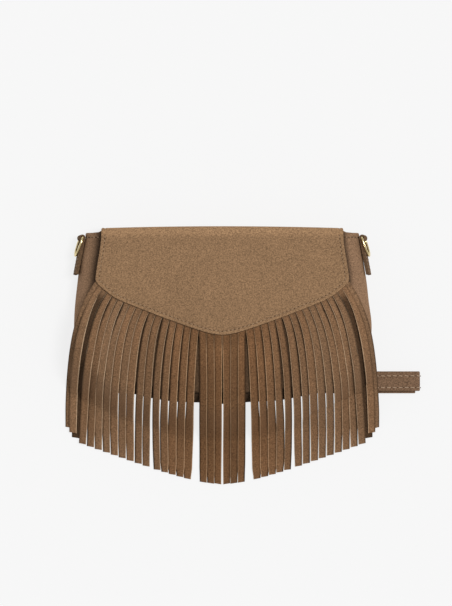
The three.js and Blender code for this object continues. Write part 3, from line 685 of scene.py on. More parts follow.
# The fringe's cut edges that face the bag's centre: lighter partly from the raw cut suede's own colour and
# partly as painted highlight
lit_cut_edge = suede("fringe_cut_edge", (178, 146, 114), toned=True, nap=1.4)
strap_suede = suede("strap_suede", (119, 93, 72), contrast=0.5, patches=0.14)
strap_edge = suede("strap_edge", (104, 76, 56), nap=1.4)
flap_skin = skin("flap_lining_skin", (116, 90, 68))
lining_cloth = cloth("lining_cloth", (92, 74, 58))
board = skin("stiffener_board", (150, 140, 126))
pale_gold = gold("pale_gold", (228, 208, 156))
flap_thread = thread_material("flap_thread", (158, 129, 99))
body_thread = thread_material("body_thread", (160, 132, 104))
light_thread = thread_material("strap_thread", (178, 152, 126))
# Painted shade in the needle holes at the ends of each stitch
needle_hole_shade = suede("needle_hole_shade", (58, 38, 24))
# Dark material of the painted shadow line under the flap's edge
seam_shade = suede("seam_shade", (40, 26, 18))


# Body panels

COLUMN_TURNS = np.linspace(1, 2, 97)
# Painted shade on the front panel: under the fringe, and along its bottom seam
UNDER_FRINGE_SHADE = 0.42
SEAM_SHADE_TONE = 0.12
# Painted shade on the gusset: how dark, and how far it reaches beside the flap on the left and the right
VALLEY_SHADE = 0.22
LEFT_VALLEY = 9.5
RIGHT_VALLEY = 4.5
ROLL_TAPER = 0.3
FOOT_SHARES = (0, 0.003, 0.008, 0.016, 0.03)
MOUTH_STEPS = (0, 0.003, 0.008, 0.014, 0.022, 0.032, 0.045, 0.06)
HEM_PLACE = 0.043
PANEL_SAG = 0.25
GUSSET_WAVE = 0.45
BACK_GROOVE = 0.2
LINING_MOUTH_DROP = 1.5


def panel_grid(seam_share, inward, top_y, row_shares):
    foot_x, foot_y = outline_xy(COLUMN_TURNS, seam_share, inward, top_y)
    half_width = float(panel_half_width(float(SHOULDER_Y), seam_share, inward))
    y = mix(foot_y[:, None], top_y, row_shares[None, :])
    x = (foot_x / half_width)[:, None] * panel_half_width(y, seam_share, inward)
    return x, y


def outline_line(seam_share, inward, top_y, steps=240):
    x, y = outline_xy(np.linspace(0, 3, steps), seam_share, inward, top_y)
    return np.stack([x, y], axis=1)


def panel_tone(x, y, _z):
    """Painted shade: darker where the fringe covers the panel, and darkest along the bottom seam, where the
    body turns under into shadow.
    """
    seam = polyline_distance(x, y, outline_line(1, 0, MOUTH_Y))
    fringe_shade = mix(UNDER_FRINGE_SHADE, 1, smooth((y - flap_edge_y(x)) / 25))
    return fringe_shade * mix(SEAM_SHADE_TONE, 1, smooth((seam - 0.6) / 1.8))


def front_panel():
    rows = np.concatenate([FOOT_SHARES, np.linspace(0.045, 1, 44)])
    x, y = panel_grid(1, 0, MOUTH_Y, rows)
    distance = polyline_distance(x, y, outline_line(1, 0, MOUTH_Y))
    distance = np.minimum(distance, MOUTH_Y - y)
    sag = -PANEL_SAG * (1 + ripple(x, y, 3, 34)) * smooth(distance / 12)
    outer = np.stack([x, y, panel_top(x, y) + sag], axis=2)
    obj = sheet_from_grid("front_panel_skin", outer, np.full(x.shape, BODY_SUEDE), distance,
                          [panel_suede], face_up=(0, 0, 1))
    paint(obj, panel_tone)
    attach(obj, "bag")
    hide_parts("front_panel")


def back_panel():
    rows = np.concatenate([FOOT_SHARES, np.linspace(0.045, 1, 60)])
    x, y = panel_grid(BACK_INSET_SHARE, 0, MOUTH_Y, rows)
    z = back_height(y, 0)
    mouth_half = float(panel_half_width(float(MOUTH_Y), BACK_INSET_SHARE, 0))
    share = x[:, -1] / mouth_half
    roll = []
    turns = np.linspace(0, math.pi / 4 - 0.03, 7)[1:]
    for turn in turns:
        part = turn / turns[-1]
        roll_x = share * mix(mouth_half, FLAP_TOP_HALF_WIDTH, part ** ROLL_TAPER)
        centre_y = HINGE_Y - FOLD_RADIUS - top_bow(roll_x) * part
        roll.append(np.stack([
            roll_x,
            centre_y + FOLD_RADIUS * math.sin(turn),
            np.full(roll_x.shape, FOLD_RADIUS - FOLD_RADIUS * math.cos(turn)),
        ], axis=1))
    outer = np.concatenate([np.stack([x, y, z], axis=2), np.stack(roll, axis=1)], axis=1)
    distance = polyline_distance(outer[..., 0], outer[..., 1], outline_line(BACK_INSET_SHARE, 0, MOUTH_Y))
    side = np.abs(share)[:, None] * np.ones(outer.shape[1])[None, :]
    distance[:, -len(turns):] = ((1 - side) * FLAP_TOP_HALF_WIDTH)[:, -len(turns):]
    groove = -BACK_GROOVE * np.exp(-((distance - STITCH_INSET) / 0.6) ** 2)
    obj = sheet_from_grid("back_panel_skin", outer, np.full(distance.shape, BODY_SUEDE), distance,
                          [body_suede], detail=groove, face_up=(0, 0, -1))
    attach(obj, "bag")
    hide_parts("back_panel")


def wall_point(t, height):
    """Point of the gusset's outer face at a place of the outline and a share of its height."""
    seam_x, seam_y = outline_xy(t, 1, 0, MOUTH_Y)
    high = panel_top(seam_x, seam_y) - LAYER
    x, y = outline_xy(t, wall_share(height), 0, MOUTH_Y)
    low = back_height(y, 2) + LAYER
    return np.stack([x, y, mix(low, high, height)], axis=-1)


def gusset_tone(x, y, z):
    """Painted shade: darker in the valley beside the flap, where the flap's edge shades it, and near the
    front seam under the fringe.
    """
    beside = np.abs(x) - flap_half_at(np.minimum(y, MOUTH_Y))
    width = np.where(x < 0, LEFT_VALLEY, RIGHT_VALLEY)
    valley = smooth((beside + 0.5) / width)
    sides = mix(mix(VALLEY_SHADE, 1, valley), 1, smooth((12 - y) / 30))
    under_fringe_shade = smooth((-30 - y) / 20) * smooth((z - 14) / 10)
    return sides * mix(1, VALLEY_SHADE, under_fringe_shade)


def gusset():
    t = np.concatenate([
        spaced(0, 1, 0.022, fine=MOUTH_STEPS)[:-1],
        np.linspace(1, 2, 121),
        spaced(3, 2, 0.022, fine=MOUTH_STEPS)[::-1][1:],
    ])
    heights = np.concatenate([[0, 0.02, 0.05], np.linspace(0.09, 0.94, 24), [0.97, 1.0]])
    wall = wall_point(t[:, None] * np.ones(len(heights)), np.ones(len(t))[:, None] * heights[None, :])
    flanges = []
    for seam_share, is_front in ((BACK_INSET_SHARE, False), (1, True)):
        columns = []
        for inward in (SEAM_FLANGE, SEAM_FLANGE / 2, 0.6):
            x, y = outline_xy(t, seam_share, inward, MOUTH_Y)
            z = panel_top(x, y) - LAYER if is_front else back_height(y, 2) + LAYER
            columns.append(np.stack([x, y, z], axis=1))
        if is_front:
            columns = columns[::-1]
        flanges.append(np.stack(columns, axis=1))
    outer = np.concatenate([flanges[0], wall, flanges[1]], axis=1)
    normals = grid_normals(outer)
    if np.mean(normals[:, 10, 1]) > 0:
        normals = -normals
    level = np.concatenate([[0, 0, 0], heights, [1, 1, 1]])[None, :]
    along = np.cumsum(np.r_[0, np.linalg.norm(np.diff(wall[:, 12], axis=0), axis=1)])[:, None]
    wave = ripple(along, level * 40, 11, 30) * GUSSET_WAVE * np.sin(math.pi * level)
    mouth = np.abs(MOUTH_Y - outer[..., 1])
    hem = 0.35 * np.exp(-((mouth - 1.6) / 1.4) ** 2) - 0.3 * np.exp(-((mouth - 3.6) / 0.6) ** 2)
    outer = outer + normals * ((wave - 0.2) * smooth(mouth / 8) + hem * np.sin(math.pi * level))[..., None]
    thickness = np.full(outer.shape[:2], BODY_SUEDE)
    obj = sheet_from_grid("gusset_skin", outer, thickness, mouth, [gusset_suede])
    paint(obj, gusset_tone)
    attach(obj, "bag")
    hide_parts("gusset")


def gusset_stitches():
    """A row across the gusset's hem at each side of the mouth."""
    heights = np.linspace(0.08, 0.93, 40)
    for side, name in ((-1, "gusset_hem_stitches_left"), (1, "gusset_hem_stitches_right")):
        t = HEM_PLACE if side < 0 else 3 - HEM_PLACE
        path = wall_point(np.full(40, t), heights)
        deeper = wall_point(np.full(40, t - side * 0.01), heights)
        normal = unit(np.cross(np.gradient(path, axis=0), deeper - path))
        if np.mean(normal[:, 0]) * side < 0:
            normal = -normal
        row = stitch_row(name, path + normal * 0.05, normal, body_thread, needle_hole_shade, 31 + side)
        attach(row, "bag")


def back_stitches():
    line = outline_line(BACK_INSET_SHARE, STITCH_INSET, MOUTH_Y, 400)
    z = back_height(line[:, 1], 0) + 0.12
    path = np.stack([line[:, 0], line[:, 1], z], axis=1)
    slope = (back_height(line[:, 1] + 0.1, 0) - back_height(line[:, 1] - 0.1, 0)) / 0.2
    normal = unit(np.stack([np.zeros(len(slope)), slope, -np.ones(len(slope))], axis=1))
    row = stitch_row("back_stitches", path, normal, body_thread, needle_hole_shade, 41)
    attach(row, "bag")


def lining():
    """The pouch of lining cloth, as an outer and an inner surface."""
    top_y = MOUTH_Y - LINING_MOUTH_DROP
    rows = np.linspace(0, 1, 37)
    heights = np.linspace(0, 1, 17)
    steps = np.concatenate([np.linspace(0, 1, 37)[:-1], COLUMN_TURNS, np.linspace(2, 3, 37)[1:]])
    shells = []
    for inward, flip in ((0, False), (LINING_CLOTH, True)):
        points = []
        faces = []
        stand_off = LINING_STAND_OFF + inward
        back_x, back_y = panel_grid(BACK_INSET_SHARE, stand_off, top_y, rows)
        back_z = back_height(back_y, 4) + 2 * LAYER + inward
        front_x, front_y = panel_grid(1, stand_off, top_y, rows)
        front_z = panel_top(front_x, front_y) - 2 * LAYER - inward
        _, low_y = outline_xy(steps, BACK_INSET_SHARE, stand_off, top_y)
        high_x, high_y = outline_xy(steps, 1, stand_off, top_y)
        low_z = back_height(low_y, 4) + 2 * LAYER + inward
        high_z = panel_top(high_x, high_y) - 2 * LAYER - inward
        wall = []
        for height in heights:
            x, y = outline_xy(steps, wall_share(np.full(steps.shape, height)), stand_off, top_y)
            wall.append(np.stack([x, y, mix(low_z, high_z, height)], axis=1))
        wall = np.stack(wall, axis=1)
        back = np.stack([back_x, back_y, back_z], axis=2)
        front = np.stack([front_x, front_y, front_z], axis=2)
        for grid, turned in ((back, True), (front, False), (wall, False)):
            start = len(points)
            points.extend(grid.reshape(-1, 3))
            faces += grid_faces(grid.shape[0], grid.shape[1], start=start, flip=turned != flip)
        name = "lining_inner" if flip else "lining_pouch"
        shells.append(make_object(name, points, faces, [lining_cloth]))
    obj, inner = shells
    inner.data.flip_normals()
    joined = bmesh.new()
    joined.from_mesh(obj.data)
    joined.from_mesh(inner.data)
    joined.to_mesh(obj.data)
    joined.free()
    bpy.data.objects.remove(inner)
    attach(obj, "bag")
    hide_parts("lining")


# Flap

def flap_outline(steps=120):
    """The flap's free edge from the left end of the front fold round the tip to the right end."""
    corner_y = float(flap_edge_y(float(FLAP_HALF_WIDTH)))
    side_y = np.linspace(MOUTH_Y, corner_y, steps)
    left = np.stack([-flap_half_at(side_y), side_y], axis=1)
    share = np.linspace(-1, 1, 4 * steps)
    bottom_x = FLAP_HALF_WIDTH * np.sin(math.pi / 2 * share)
    bottom = np.stack([bottom_x, flap_edge_y(bottom_x)], axis=1)
    right = np.stack([flap_half_at(side_y), side_y], axis=1)[::-1]
    return np.concatenate([left, bottom[1:-1], right])


EDGE_OFFSETS = (0, 0.12, 0.35, 0.7, 1.1, 1.6, 2.0, 2.3, 2.6, 2.9, 3.2, 3.5, 4.1, 5, 6.5)
FLAP_GROOVE = 0.26
FLAP_WELT = 0.16
FLAP_UNEVENNESS = 0.12
FLAP_BACK_THINNING = (2.2, 1.9, 1.6, BODY_SUEDE)


def flap_columns():
    half = spaced(FLAP_HALF_WIDTH, 0, 2.1, fine=EDGE_OFFSETS)
    return np.concatenate([-half, half[::-1][1:]]) / FLAP_HALF_WIDTH


def edge_detail(distance):
    """The turned edge: puffed along the rim, pulled in where it is sewn."""
    groove = -FLAP_GROOVE * np.exp(-((distance - STITCH_INSET) / 0.6) ** 2)
    welt = FLAP_WELT * np.exp(-((distance - 1.5) / 0.8) ** 2)
    return groove + welt


def flap_tone(x, y, z):
    """Painted highlights: paler along the front fold and along the turned rim, where light catches them; a
    little darker towards the bottom.
    """
    fold = FOLD_HIGHLIGHT * smooth((y - 60.5) / 5) * smooth((z - 26) / 6)
    across = smooth((FLAP_HALF_WIDTH + 40 - np.abs(x)) / 40)
    rim = RIM_HIGHLIGHT * across * smooth((2.2 - y + flap_edge_y(x)) / 1.4)
    low = -0.05 * smooth((30 - y) / 40)
    return 1 + np.maximum(fold, rim) + low


def flap_top_z(x, y):
    return flap_under(x, y) + FLAP_SUEDE + FLAP_UNEVENNESS * ripple(x, y, 21, 46)


def fold_arc(x, turns, centre_z, centre_y):
    """Part of one of the flap's two folds."""
    y = centre_y[:, None] + FOLD_RADIUS * np.cos(turns)[None, :]
    z = centre_z + FOLD_RADIUS * np.sin(turns)[None, :] * np.ones(len(x))[:, None]
    return np.stack([x[:, None] * np.ones(len(turns))[None, :], y, z], axis=2)


def fold_run(x, run_y, run_z):
    """The upright run of the flap between its two folds, behind the mouth."""
    return np.stack([
        x[:, None] * np.ones(len(run_z)),
        run_y[:, None] * np.ones(len(run_z)),
        np.ones(len(x))[:, None] * run_z[None, :],
    ], axis=2)


RUN_MIDDLE_Z = FOLD_Z / 2


def flap_front():
    across = flap_columns()
    foot = flap_edge_y(across * FLAP_HALF_WIDTH)
    top_y = MOUTH_Y - top_bow(across * FLAP_TOP_HALF_WIDTH)
    first = foot[:, None] + np.array(EDGE_OFFSETS)[None, :]
    shares = np.linspace(0, 1, 40)[1:]
    rest = mix(first[:, -1:], top_y[:, None], shares[None, :])
    y = np.concatenate([first, rest], axis=1)
    x = across[:, None] * flap_half_at(y)
    distance = polyline_distance(x, y, flap_outline())
    front = np.stack([x, y, flap_top_z(x, y)], axis=2)
    fold_x = across * FLAP_TOP_HALF_WIDTH
    flat = smooth((y - (MOUTH_Y - 14)) / 12)
    front[..., 2] = mix(front[..., 2], flap_under(x, y) + FLAP_SUEDE, flat)
    arc = fold_arc(fold_x, np.linspace(math.pi / 2, 0, 10)[1:], FOLD_Z - FOLD_RADIUS, top_y)
    run_z = np.linspace(FOLD_Z - FOLD_RADIUS, RUN_MIDDLE_Z, 7)[1:]
    run = fold_run(fold_x, top_y + FOLD_RADIUS, run_z)
    outer = np.concatenate([front, arc, run], axis=1)
    side = (FLAP_TOP_HALF_WIDTH - np.abs(fold_x))[:, None] * np.ones(arc.shape[1] + run.shape[1])
    distance = np.concatenate([distance, side], axis=1)
    thickness = np.full(distance.shape, FLAP_SUEDE)
    front_rows = front.shape[1]
    turning = smooth(np.arange(arc.shape[1] + run.shape[1]) / (arc.shape[1] + 1))
    thickness[:, front_rows:] = mix(FLAP_SUEDE, FLAP_TOP_SHEET, turning)[None, :]

    def under_slot(columns, rows):
        return [1 if k >= front_rows - 2 else 0 for k in range(rows - 1)] * (columns - 1)

    obj = sheet_from_grid("flap_front_skin", outer, thickness, distance, [flap_suede, flap_skin],
                          detail=edge_detail(distance), under_slot=under_slot, face_up=(0, 0, 1))
    paint(obj, flap_tone)
    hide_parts("flap_front")
    return obj


def flap_back():
    across = flap_columns()
    fold_x = across * FLAP_TOP_HALF_WIDTH
    centre_y = MOUTH_Y - top_bow(fold_x)
    run = fold_run(fold_x, centre_y + FOLD_RADIUS, np.linspace(RUN_MIDDLE_Z, FOLD_RADIUS, 7))
    arc = fold_arc(fold_x, np.linspace(0, -math.pi / 4 - 0.02, 8)[1:], FOLD_RADIUS, centre_y)
    outer = np.concatenate([run, arc], axis=1)
    distance = (FLAP_TOP_HALF_WIDTH - np.abs(fold_x))[:, None] * np.ones(outer.shape[1])
    thickness = np.full(distance.shape, FLAP_TOP_SHEET)
    thickness[:, -4:] = np.array(FLAP_BACK_THINNING)[None, :]

    def under_slot(columns, rows):
        return [1] * ((columns - 1) * (rows - 1))

    obj = sheet_from_grid("flap_back_skin", outer, thickness, distance, [flap_suede, flap_skin],
                          detail=edge_detail(distance), under_slot=under_slot, face_up=(0, 1, 0))
    paint(obj, flap_tone)
    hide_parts("flap_top")
    return obj


def flap_lining():
    margin = LINING_MARGIN
    across = flap_columns()
    foot = flap_edge_y(across * FLAP_HALF_WIDTH) + margin
    y = mix(foot[:, None], MOUTH_Y - 1, np.linspace(0, 1, 44)[None, :])
    x = across[:, None] * (flap_half_at(y) - margin)
    edge = flap_outline()
    distance = np.maximum(0, polyline_distance(x, y, edge) - margin)
    distance = np.minimum(distance, MOUTH_Y - 1 - y)
    distance[:, 0] = 0
    distance[0, :] = 0
    distance[-1, :] = 0
    outer = np.stack([x, y, flap_lining_under(x, y)], axis=2)
    obj = sheet_from_grid("flap_lining_leather", outer, np.full(x.shape, FLAP_LINING_SKIN), distance,
                          [flap_skin], face_up=(0, 0, -1))
    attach(obj, "flap")
    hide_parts("flap_lining")


def flap_edge_shadow_line():
    """A painted shadow line: a thin dark band between the flap's suede and the fringe, a little proud of
    them, standing for the shadow under the flap's edge.
    """
    line = flap_outline()
    line = line[line[:, 1] < MOUTH_Y - 3]
    outer_line = inset_line(line, -EDGE_SHADOW_PROUD)
    inner_line = inset_line(line, EDGE_SHADOW_DEPTH)
    rows = []
    corners = (
        (inner_line, 0.0),
        (outer_line, 0.0),
        (outer_line, EDGE_SHADOW_HEIGHT),
        (inner_line, EDGE_SHADOW_HEIGHT),
    )
    for plan, rise in corners:
        z = flap_under(plan[:, 0], plan[:, 1]) - EDGE_SHADOW_DROP + rise
        rows.append(np.stack([plan[:, 0], plan[:, 1], z], axis=1))
    points = np.stack(rows, axis=1).reshape(-1, 3)
    faces = tube_faces(len(line), 4)
    faces.append((0, 1, 2, 3))
    last = (len(line) - 1) * 4
    faces.append((last + 3, last + 2, last + 1, last))
    obj = make_object("flap_edge_shadow_line", points, faces, [seam_shade])
    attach(obj, "flap")


def inset_line(line, inset):
    """A line moved to its left by an inset, which is inwards for one that runs anticlockwise."""
    along = unit(np.gradient(line, axis=0))
    return line + np.stack([-along[:, 1], along[:, 0]], axis=1) * inset


def flap_stitches():
    line = inset_line(flap_outline(), STITCH_INSET)
    line = line[line[:, 1] < MOUTH_Y - 1.5]
    x, y = line[:, 0], line[:, 1]
    z = flap_top_z(x, y)
    slope_x = (flap_top_z(x + 0.2, y) - flap_top_z(x - 0.2, y)) / 0.4
    slope_y = (flap_top_z(x, y + 0.2) - flap_top_z(x, y - 0.2)) / 0.4
    normal = unit(np.stack([-slope_x, -slope_y, np.ones(len(x))], axis=1))
    path = np.stack([x, y, z - 0.16], axis=1)
    front = stitch_row("flap_stitches", path, normal, flap_thread, needle_hole_shade, 51)
    return front


# Fringe

# Groups of strips, from the centre out: first rank, where its tip is across, and the step to the next
TIP_GROUPS = (
    (0, 3.35, 5.7),
    (CENTRE_STRIPS, 27.1, 5.9),
    (INNER_STRIPS, 59.3, 6.21),
    (SPREAD_STRIPS, 113.5, 3),
)


def tip_x(rank):
    first, place, step = [group for group in TIP_GROUPS if group[0] <= rank][-1]
    return place + step * (rank - first)


def tip_y(rank):
    edge_rise = EDGE_TIP_RISE * max(0, rank - SPREAD_STRIPS + 1)
    return LONGEST_TIP_Y + TIP_SLOPE * (math.hypot(tip_x(rank), TIP_ROUND) - TIP_ROUND) + edge_rise


def outside_seam(x, y):
    half_width = BODY_HALF_WIDTH - SIDE_INSET
    reach = BOTTOM_REACH - BOTTOM_INSET
    down = np.maximum(SHOULDER_Y - y, 1e-6)
    power = BOTTOM_ROUNDNESS
    ratio = ((np.abs(x) / half_width) ** power + (down / reach) ** power) ** (1 / power)
    radius = np.hypot(x, down)
    return np.where(y >= SHOULDER_Y, np.abs(x) - panel_half_width(y, 1, 0), radius - radius / ratio)


def drape(x, y):
    fall = panel_top(x, y) * (1 - smooth((outside_seam(x, y) - FALL_START) / FALL_LENGTH))
    over = (STRAP_STACK + STRIP_REST) * ridge(y, STRAP_HALF_SPAN + 3 * BRIDGE_WIDENING, STRAP_RAMP_LENGTH)
    over = np.where(x > 0, over, 0)
    return np.maximum(np.maximum(fall + STRIP_REST, over), GAP)


def edge_curve():
    share = np.linspace(0, 1, 1601)
    x = FLAP_HALF_WIDTH * np.sin(math.pi / 2 * (2 * share - 1))
    line = np.stack([x, edge_y(x, HEADER_CORNER_RADIUS)], axis=1)
    length = np.concatenate([[0], np.cumsum(np.linalg.norm(np.diff(line, axis=0), axis=1))])
    return line, length


EDGE_LINE, EDGE_LENGTHS = edge_curve()


def edge_at(distance):
    return np.array([np.interp(distance, EDGE_LENGTHS, EDGE_LINE[:, k]) for k in range(2)])


def edge_spot(distance, inward):
    along = edge_at(min(distance + 0.3, EDGE_LENGTHS[-1])) - edge_at(max(distance - 0.3, 0))
    along /= np.linalg.norm(along)
    return edge_at(distance) - np.array([along[1], -along[0]]) * inward


def bezier(points, t):
    a, b, c, d = points
    t = t[:, None]
    return a * (1 - t) ** 3 + 3 * b * t * (1 - t) ** 2 + 3 * c * t ** 2 * (1 - t) + d * t ** 3


SWAY = 0.32
WAVER = 0.1
STRIP_SKIN = 0.9
STRIP_SECTIONS = 60
CENTRE_ROOT_PITCH = 6.4
TIP_SLANT = 0.16

# How a strip of each of these ranks turns down: share of its spread and of its fall at its two handles
TURN_RANKS = (3, 7, 8, 10, 13, 16, 17)
FIRST_SPREAD = (0.55, 0.72, 0.73, 0.75, 0.68, 0.71, 0.72)
FIRST_FALL = (0.15, 0.14, 0.14, 0.15, 0.2, 0.2, 0.2)
LAST_SPREAD = (0.8, 1.4, 0.95, 1.06, 1.08, 0.86, 0.98)
LAST_FALL = (0.6, 0.5, 0.46, 0.42, 0.38, 0.47, 0.5)

# Ranks with a deep shadow on their outer side
DARK_RANKS = (2, 4, 6, 7, 9, 13, 15)

# Ranks whose gap on the outer side opens as far up as the body's bottom
OPEN_RANKS = (0, 6, 7, 9)

# Ranks that stay against each other down to their tips
CLOSE_RANKS = (3, 4, 5, 6)
CLOSE_GAIN = 0.45
CLOSE_NARROWING = 0.93

# Half widths of a strip: on the body, where it falls over the edge, and at its tip
INNER_BODY_HALF = 3.08
OUTER_BODY_HALF = 3.16
OPEN_BODY_HALF = 2.88
FALL_HALF = 3.1
INNER_TIP_HALF = 2.74
OUTER_TIP_HALF = 2.82

# A strip leans outwards where what it lies on slopes that way
LEAN_REACH = 3
LEAN_SHARE = 0.6
MOST_LEAN = math.radians(18)

# The one strip that lies in the shade of the upper layer is darker and a little wider
SHADED_RANK = SPREAD_STRIPS
SHADED_GAIN = 0.9
SHADED_TONE = 0.3

# Profile of a strip: side (1 towards the bag's centre), distance from that edge, share of the thickness, and
# tone, a painted shade that darkens the strip's low outer edge and its underside
STRIP_PROFILE = (
    (-1, 0.0, 0.15, 0.2), (-1, 0.0, 0.75, 0.2), (-1, 0.2, 1.0, 0.22), (-1, 0.8, 0.98, 0.5),
    (-1, 1.5, 0.96, 1), (0, 0, 0.94, 1), (1, 1.2, 0.97, 1), (1, 0.5, 1.0, 1), (1, 0.1, 0.96, 1),
    (1, 0.0, 0.7, 1), (1, 0.0, 0.15, 0.8), (1, 0.25, 0.0, 0.8), (-1, 0.25, 0.0, 0.5),
)
# Faces of the cut edge towards the bag's centre, in the lighter material of painted highlight
STRIP_LIT_CUT_FACES = (7, 8, 9)
CENTRE_TINT = (0.84, 0.76, 0.67)
SIDE_TINT = (1.12, 1.155, 1.21)
TINT_REACH = 92


def root_distance(rank):
    """Distance along the edge from the flap's point to a strip's middle: the outer strips are closer."""
    half_length = EDGE_LENGTHS[-1] / 2
    spot = rank + 0.5
    closing = (CENTRE_ROOT_PITCH * STRIPS_EACH_SIDE - half_length) / STRIPS_EACH_SIDE ** 2
    return CENTRE_ROOT_PITCH * spot - closing * spot ** 2


def strip_line(index, source):
    """Middle line of a strip in plan, from under the flap to its tip, and the share of its length."""
    left = index < STRIPS_EACH_SIDE
    rank = STRIPS_EACH_SIDE - 1 - index if left else index - STRIPS_EACH_SIDE
    outward = -1 if left else 1
    middle = EDGE_LENGTHS[-1] / 2 + outward * root_distance(rank)
    top = edge_spot(middle, HEADER_MARGIN + HEADER_DEPTH * 0.6)
    root = edge_spot(middle, HEADER_MARGIN)
    tip = np.array([outward * tip_x(rank), tip_y(rank)])
    first, second = (
        mix(root, tip, np.array([np.interp(rank, TURN_RANKS, shares) for shares in handle]))
        for handle in ((FIRST_SPREAD, FIRST_FALL), (LAST_SPREAD, LAST_FALL))
    )
    dense = np.concatenate([top[None, :], bezier((root, first, second, tip), np.linspace(0, 1, 400))])
    steps = np.concatenate([[0], np.cumsum(np.linalg.norm(np.diff(dense, axis=0), axis=1))])
    at = np.linspace(0, steps[-1], STRIP_SECTIONS)
    line = np.stack([np.interp(at, steps, dense[:, k]) for k in range(2)], axis=1)
    share = at / steps[-1]
    along = unit(np.gradient(line, axis=0))
    right = np.stack([-along[:, 1], along[:, 0]], axis=1)
    sway = source.uniform(-SWAY, SWAY) * np.sin(math.pi * clamp01(share * source.uniform(0.95, 1.15)))
    sway = sway + source.uniform(-WAVER, WAVER) * np.sin(share * source.uniform(9, 15))
    return line + right * sway[:, None], along, right, share, at, rank, left


def strip_sections(index, source):
    """Corner points of every cross-section of one strip, and the colour tone of each."""
    line, along, right, share, at, rank, left = strip_line(index, source)
    x, y = line[:, 0], line[:, 1]
    inward = 1 if left else -1
    upper = rank >= SPREAD_STRIPS - 1 and (rank - SPREAD_STRIPS) % 2 != 0
    own = smooth(share / UPPER_LAYER_SHARE) * (1 if upper else 0)
    neighbour = drape(x - np.sign(x) * UPPER_LAYER_REACH * own, y)
    lying = np.maximum(drape(x, y), neighbour) + own * UPPER_LAYER_RISE
    under_header = 1 - smooth((share - 0.03) / HEADER_SHARE)
    height = mix(lying, np.maximum(filler_under(x, y), lying), under_header)
    root_half = 0.5 * (root_distance(rank + 0.5) - root_distance(rank - 0.5)) - 0.12
    falls_over = rank > INNER_STRIPS + 1
    body_half = OUTER_BODY_HALF if falls_over else INNER_BODY_HALF
    if rank in OPEN_RANKS:
        body_half = OPEN_BODY_HALF
    tip_half = OUTER_TIP_HALF if rank >= INNER_STRIPS else INNER_TIP_HALF
    half = mix(root_half, body_half, smooth((share - 0.05) / 0.35))
    narrowing = source.uniform(0.78, 0.9)
    if rank in CLOSE_RANKS:
        half = half + CLOSE_GAIN * smooth((share - 0.5) / 0.2)
        narrowing = CLOSE_NARROWING
    if falls_over:
        half = mix(half, FALL_HALF, smooth((share - 0.4) / 0.2))
    half = mix(half, tip_half, smooth((share - narrowing) / (1 - narrowing))) * source.uniform(0.98, 1.01)
    tilt = math.radians(source.uniform(7, 12)) * smooth((share - 0.04) / 0.16)
    tilt = tilt * (1 - 0.45 * smooth((share - 0.75) / 0.25))
    curl = math.radians(source.uniform(-2, 7)) * smooth((share - 0.55) / 0.45)
    reach = np.sign(x) * LEAN_REACH
    fall = np.arctan((drape(x + reach, y) - drape(x - reach, y)) / (2 * LEAN_REACH))
    below_header = smooth((share - 0.2) / 0.2)
    lean = np.minimum(np.abs(fall) * LEAN_SHARE, MOST_LEAN) * below_header
    roll = (tilt + curl + lean) * inward
    half = half / np.cos(lean)
    if rank == SHADED_RANK:
        half = half + SHADED_GAIN * below_header
    height = height + np.abs(np.sin(roll)) * half
    slope = np.gradient(height) / np.gradient(at)
    tangent = unit(np.stack([along[:, 0], along[:, 1], slope], axis=1))
    flat_right = np.stack([right[:, 0], right[:, 1], np.zeros(len(x))], axis=1)
    up = np.cross(flat_right, tangent)
    up = np.where(up[:, 2:3] < 0, -up, up)
    across = flat_right * np.cos(roll)[:, None] + up * np.sin(roll)[:, None]
    normal = up * np.cos(roll)[:, None] - flat_right * np.sin(roll)[:, None]
    centre = np.stack([x, y, height], axis=1)
    spread = smooth(np.abs(x) / TINT_REACH)
    down = 1.13 - 0.18 * smooth((share - 0.1) / 0.35) + 0.06 * smooth((share - 0.7) / 0.3)
    strip_tone = 1 + source.uniform(-0.09, 0.07)
    if rank == SHADED_RANK:
        strip_tone = mix(strip_tone, SHADED_TONE, smooth(share / 0.1))
    deep = rank in DARK_RANKS
    shadow = (0.65 if deep else source.uniform(0.1, 0.5)) * smooth((share - 0.02) / (0.08 if deep else 0.3))
    rim_start = mix(0.05, 0.4, clamp01(rank / 9))
    highlight_strength = mix(0.56, source.uniform(0.7, 0.92), smooth((share - 0.08) / rim_start))
    warm = source.uniform(-0.025, 0.025)
    rows = []
    tints = []
    slant = np.where(np.arange(len(x)) == len(x) - 1, TIP_SLANT, 0)
    for side, pull, level, tone in STRIP_PROFILE:
        offset = inward * side * (half - pull)
        place = centre + across * offset[:, None] + normal * STRIP_SKIN * level
        rows.append(place + tangent * (slant * offset * inward)[:, None])
        # Painted shade on the low outer edge, from the profile's tones and the shadow
        edge = mix(1, tone, 0.35 + shadow) * strip_tone * down
        # Painted highlight along the centre-facing cut edge, weaker near the root
        if side > 0 and pull <= 0.5:
            edge = edge * highlight_strength
        tints.append(np.stack([
            mix(CENTRE_TINT[0], SIDE_TINT[0], spread) * edge * (1 + warm),
            mix(CENTRE_TINT[1], SIDE_TINT[1], spread) * edge,
            mix(CENTRE_TINT[2], SIDE_TINT[2], spread) * edge * (1 - warm),
            np.ones(len(x)),
        ], axis=1))
    return np.stack(rows, axis=1), np.stack(tints, axis=1), left


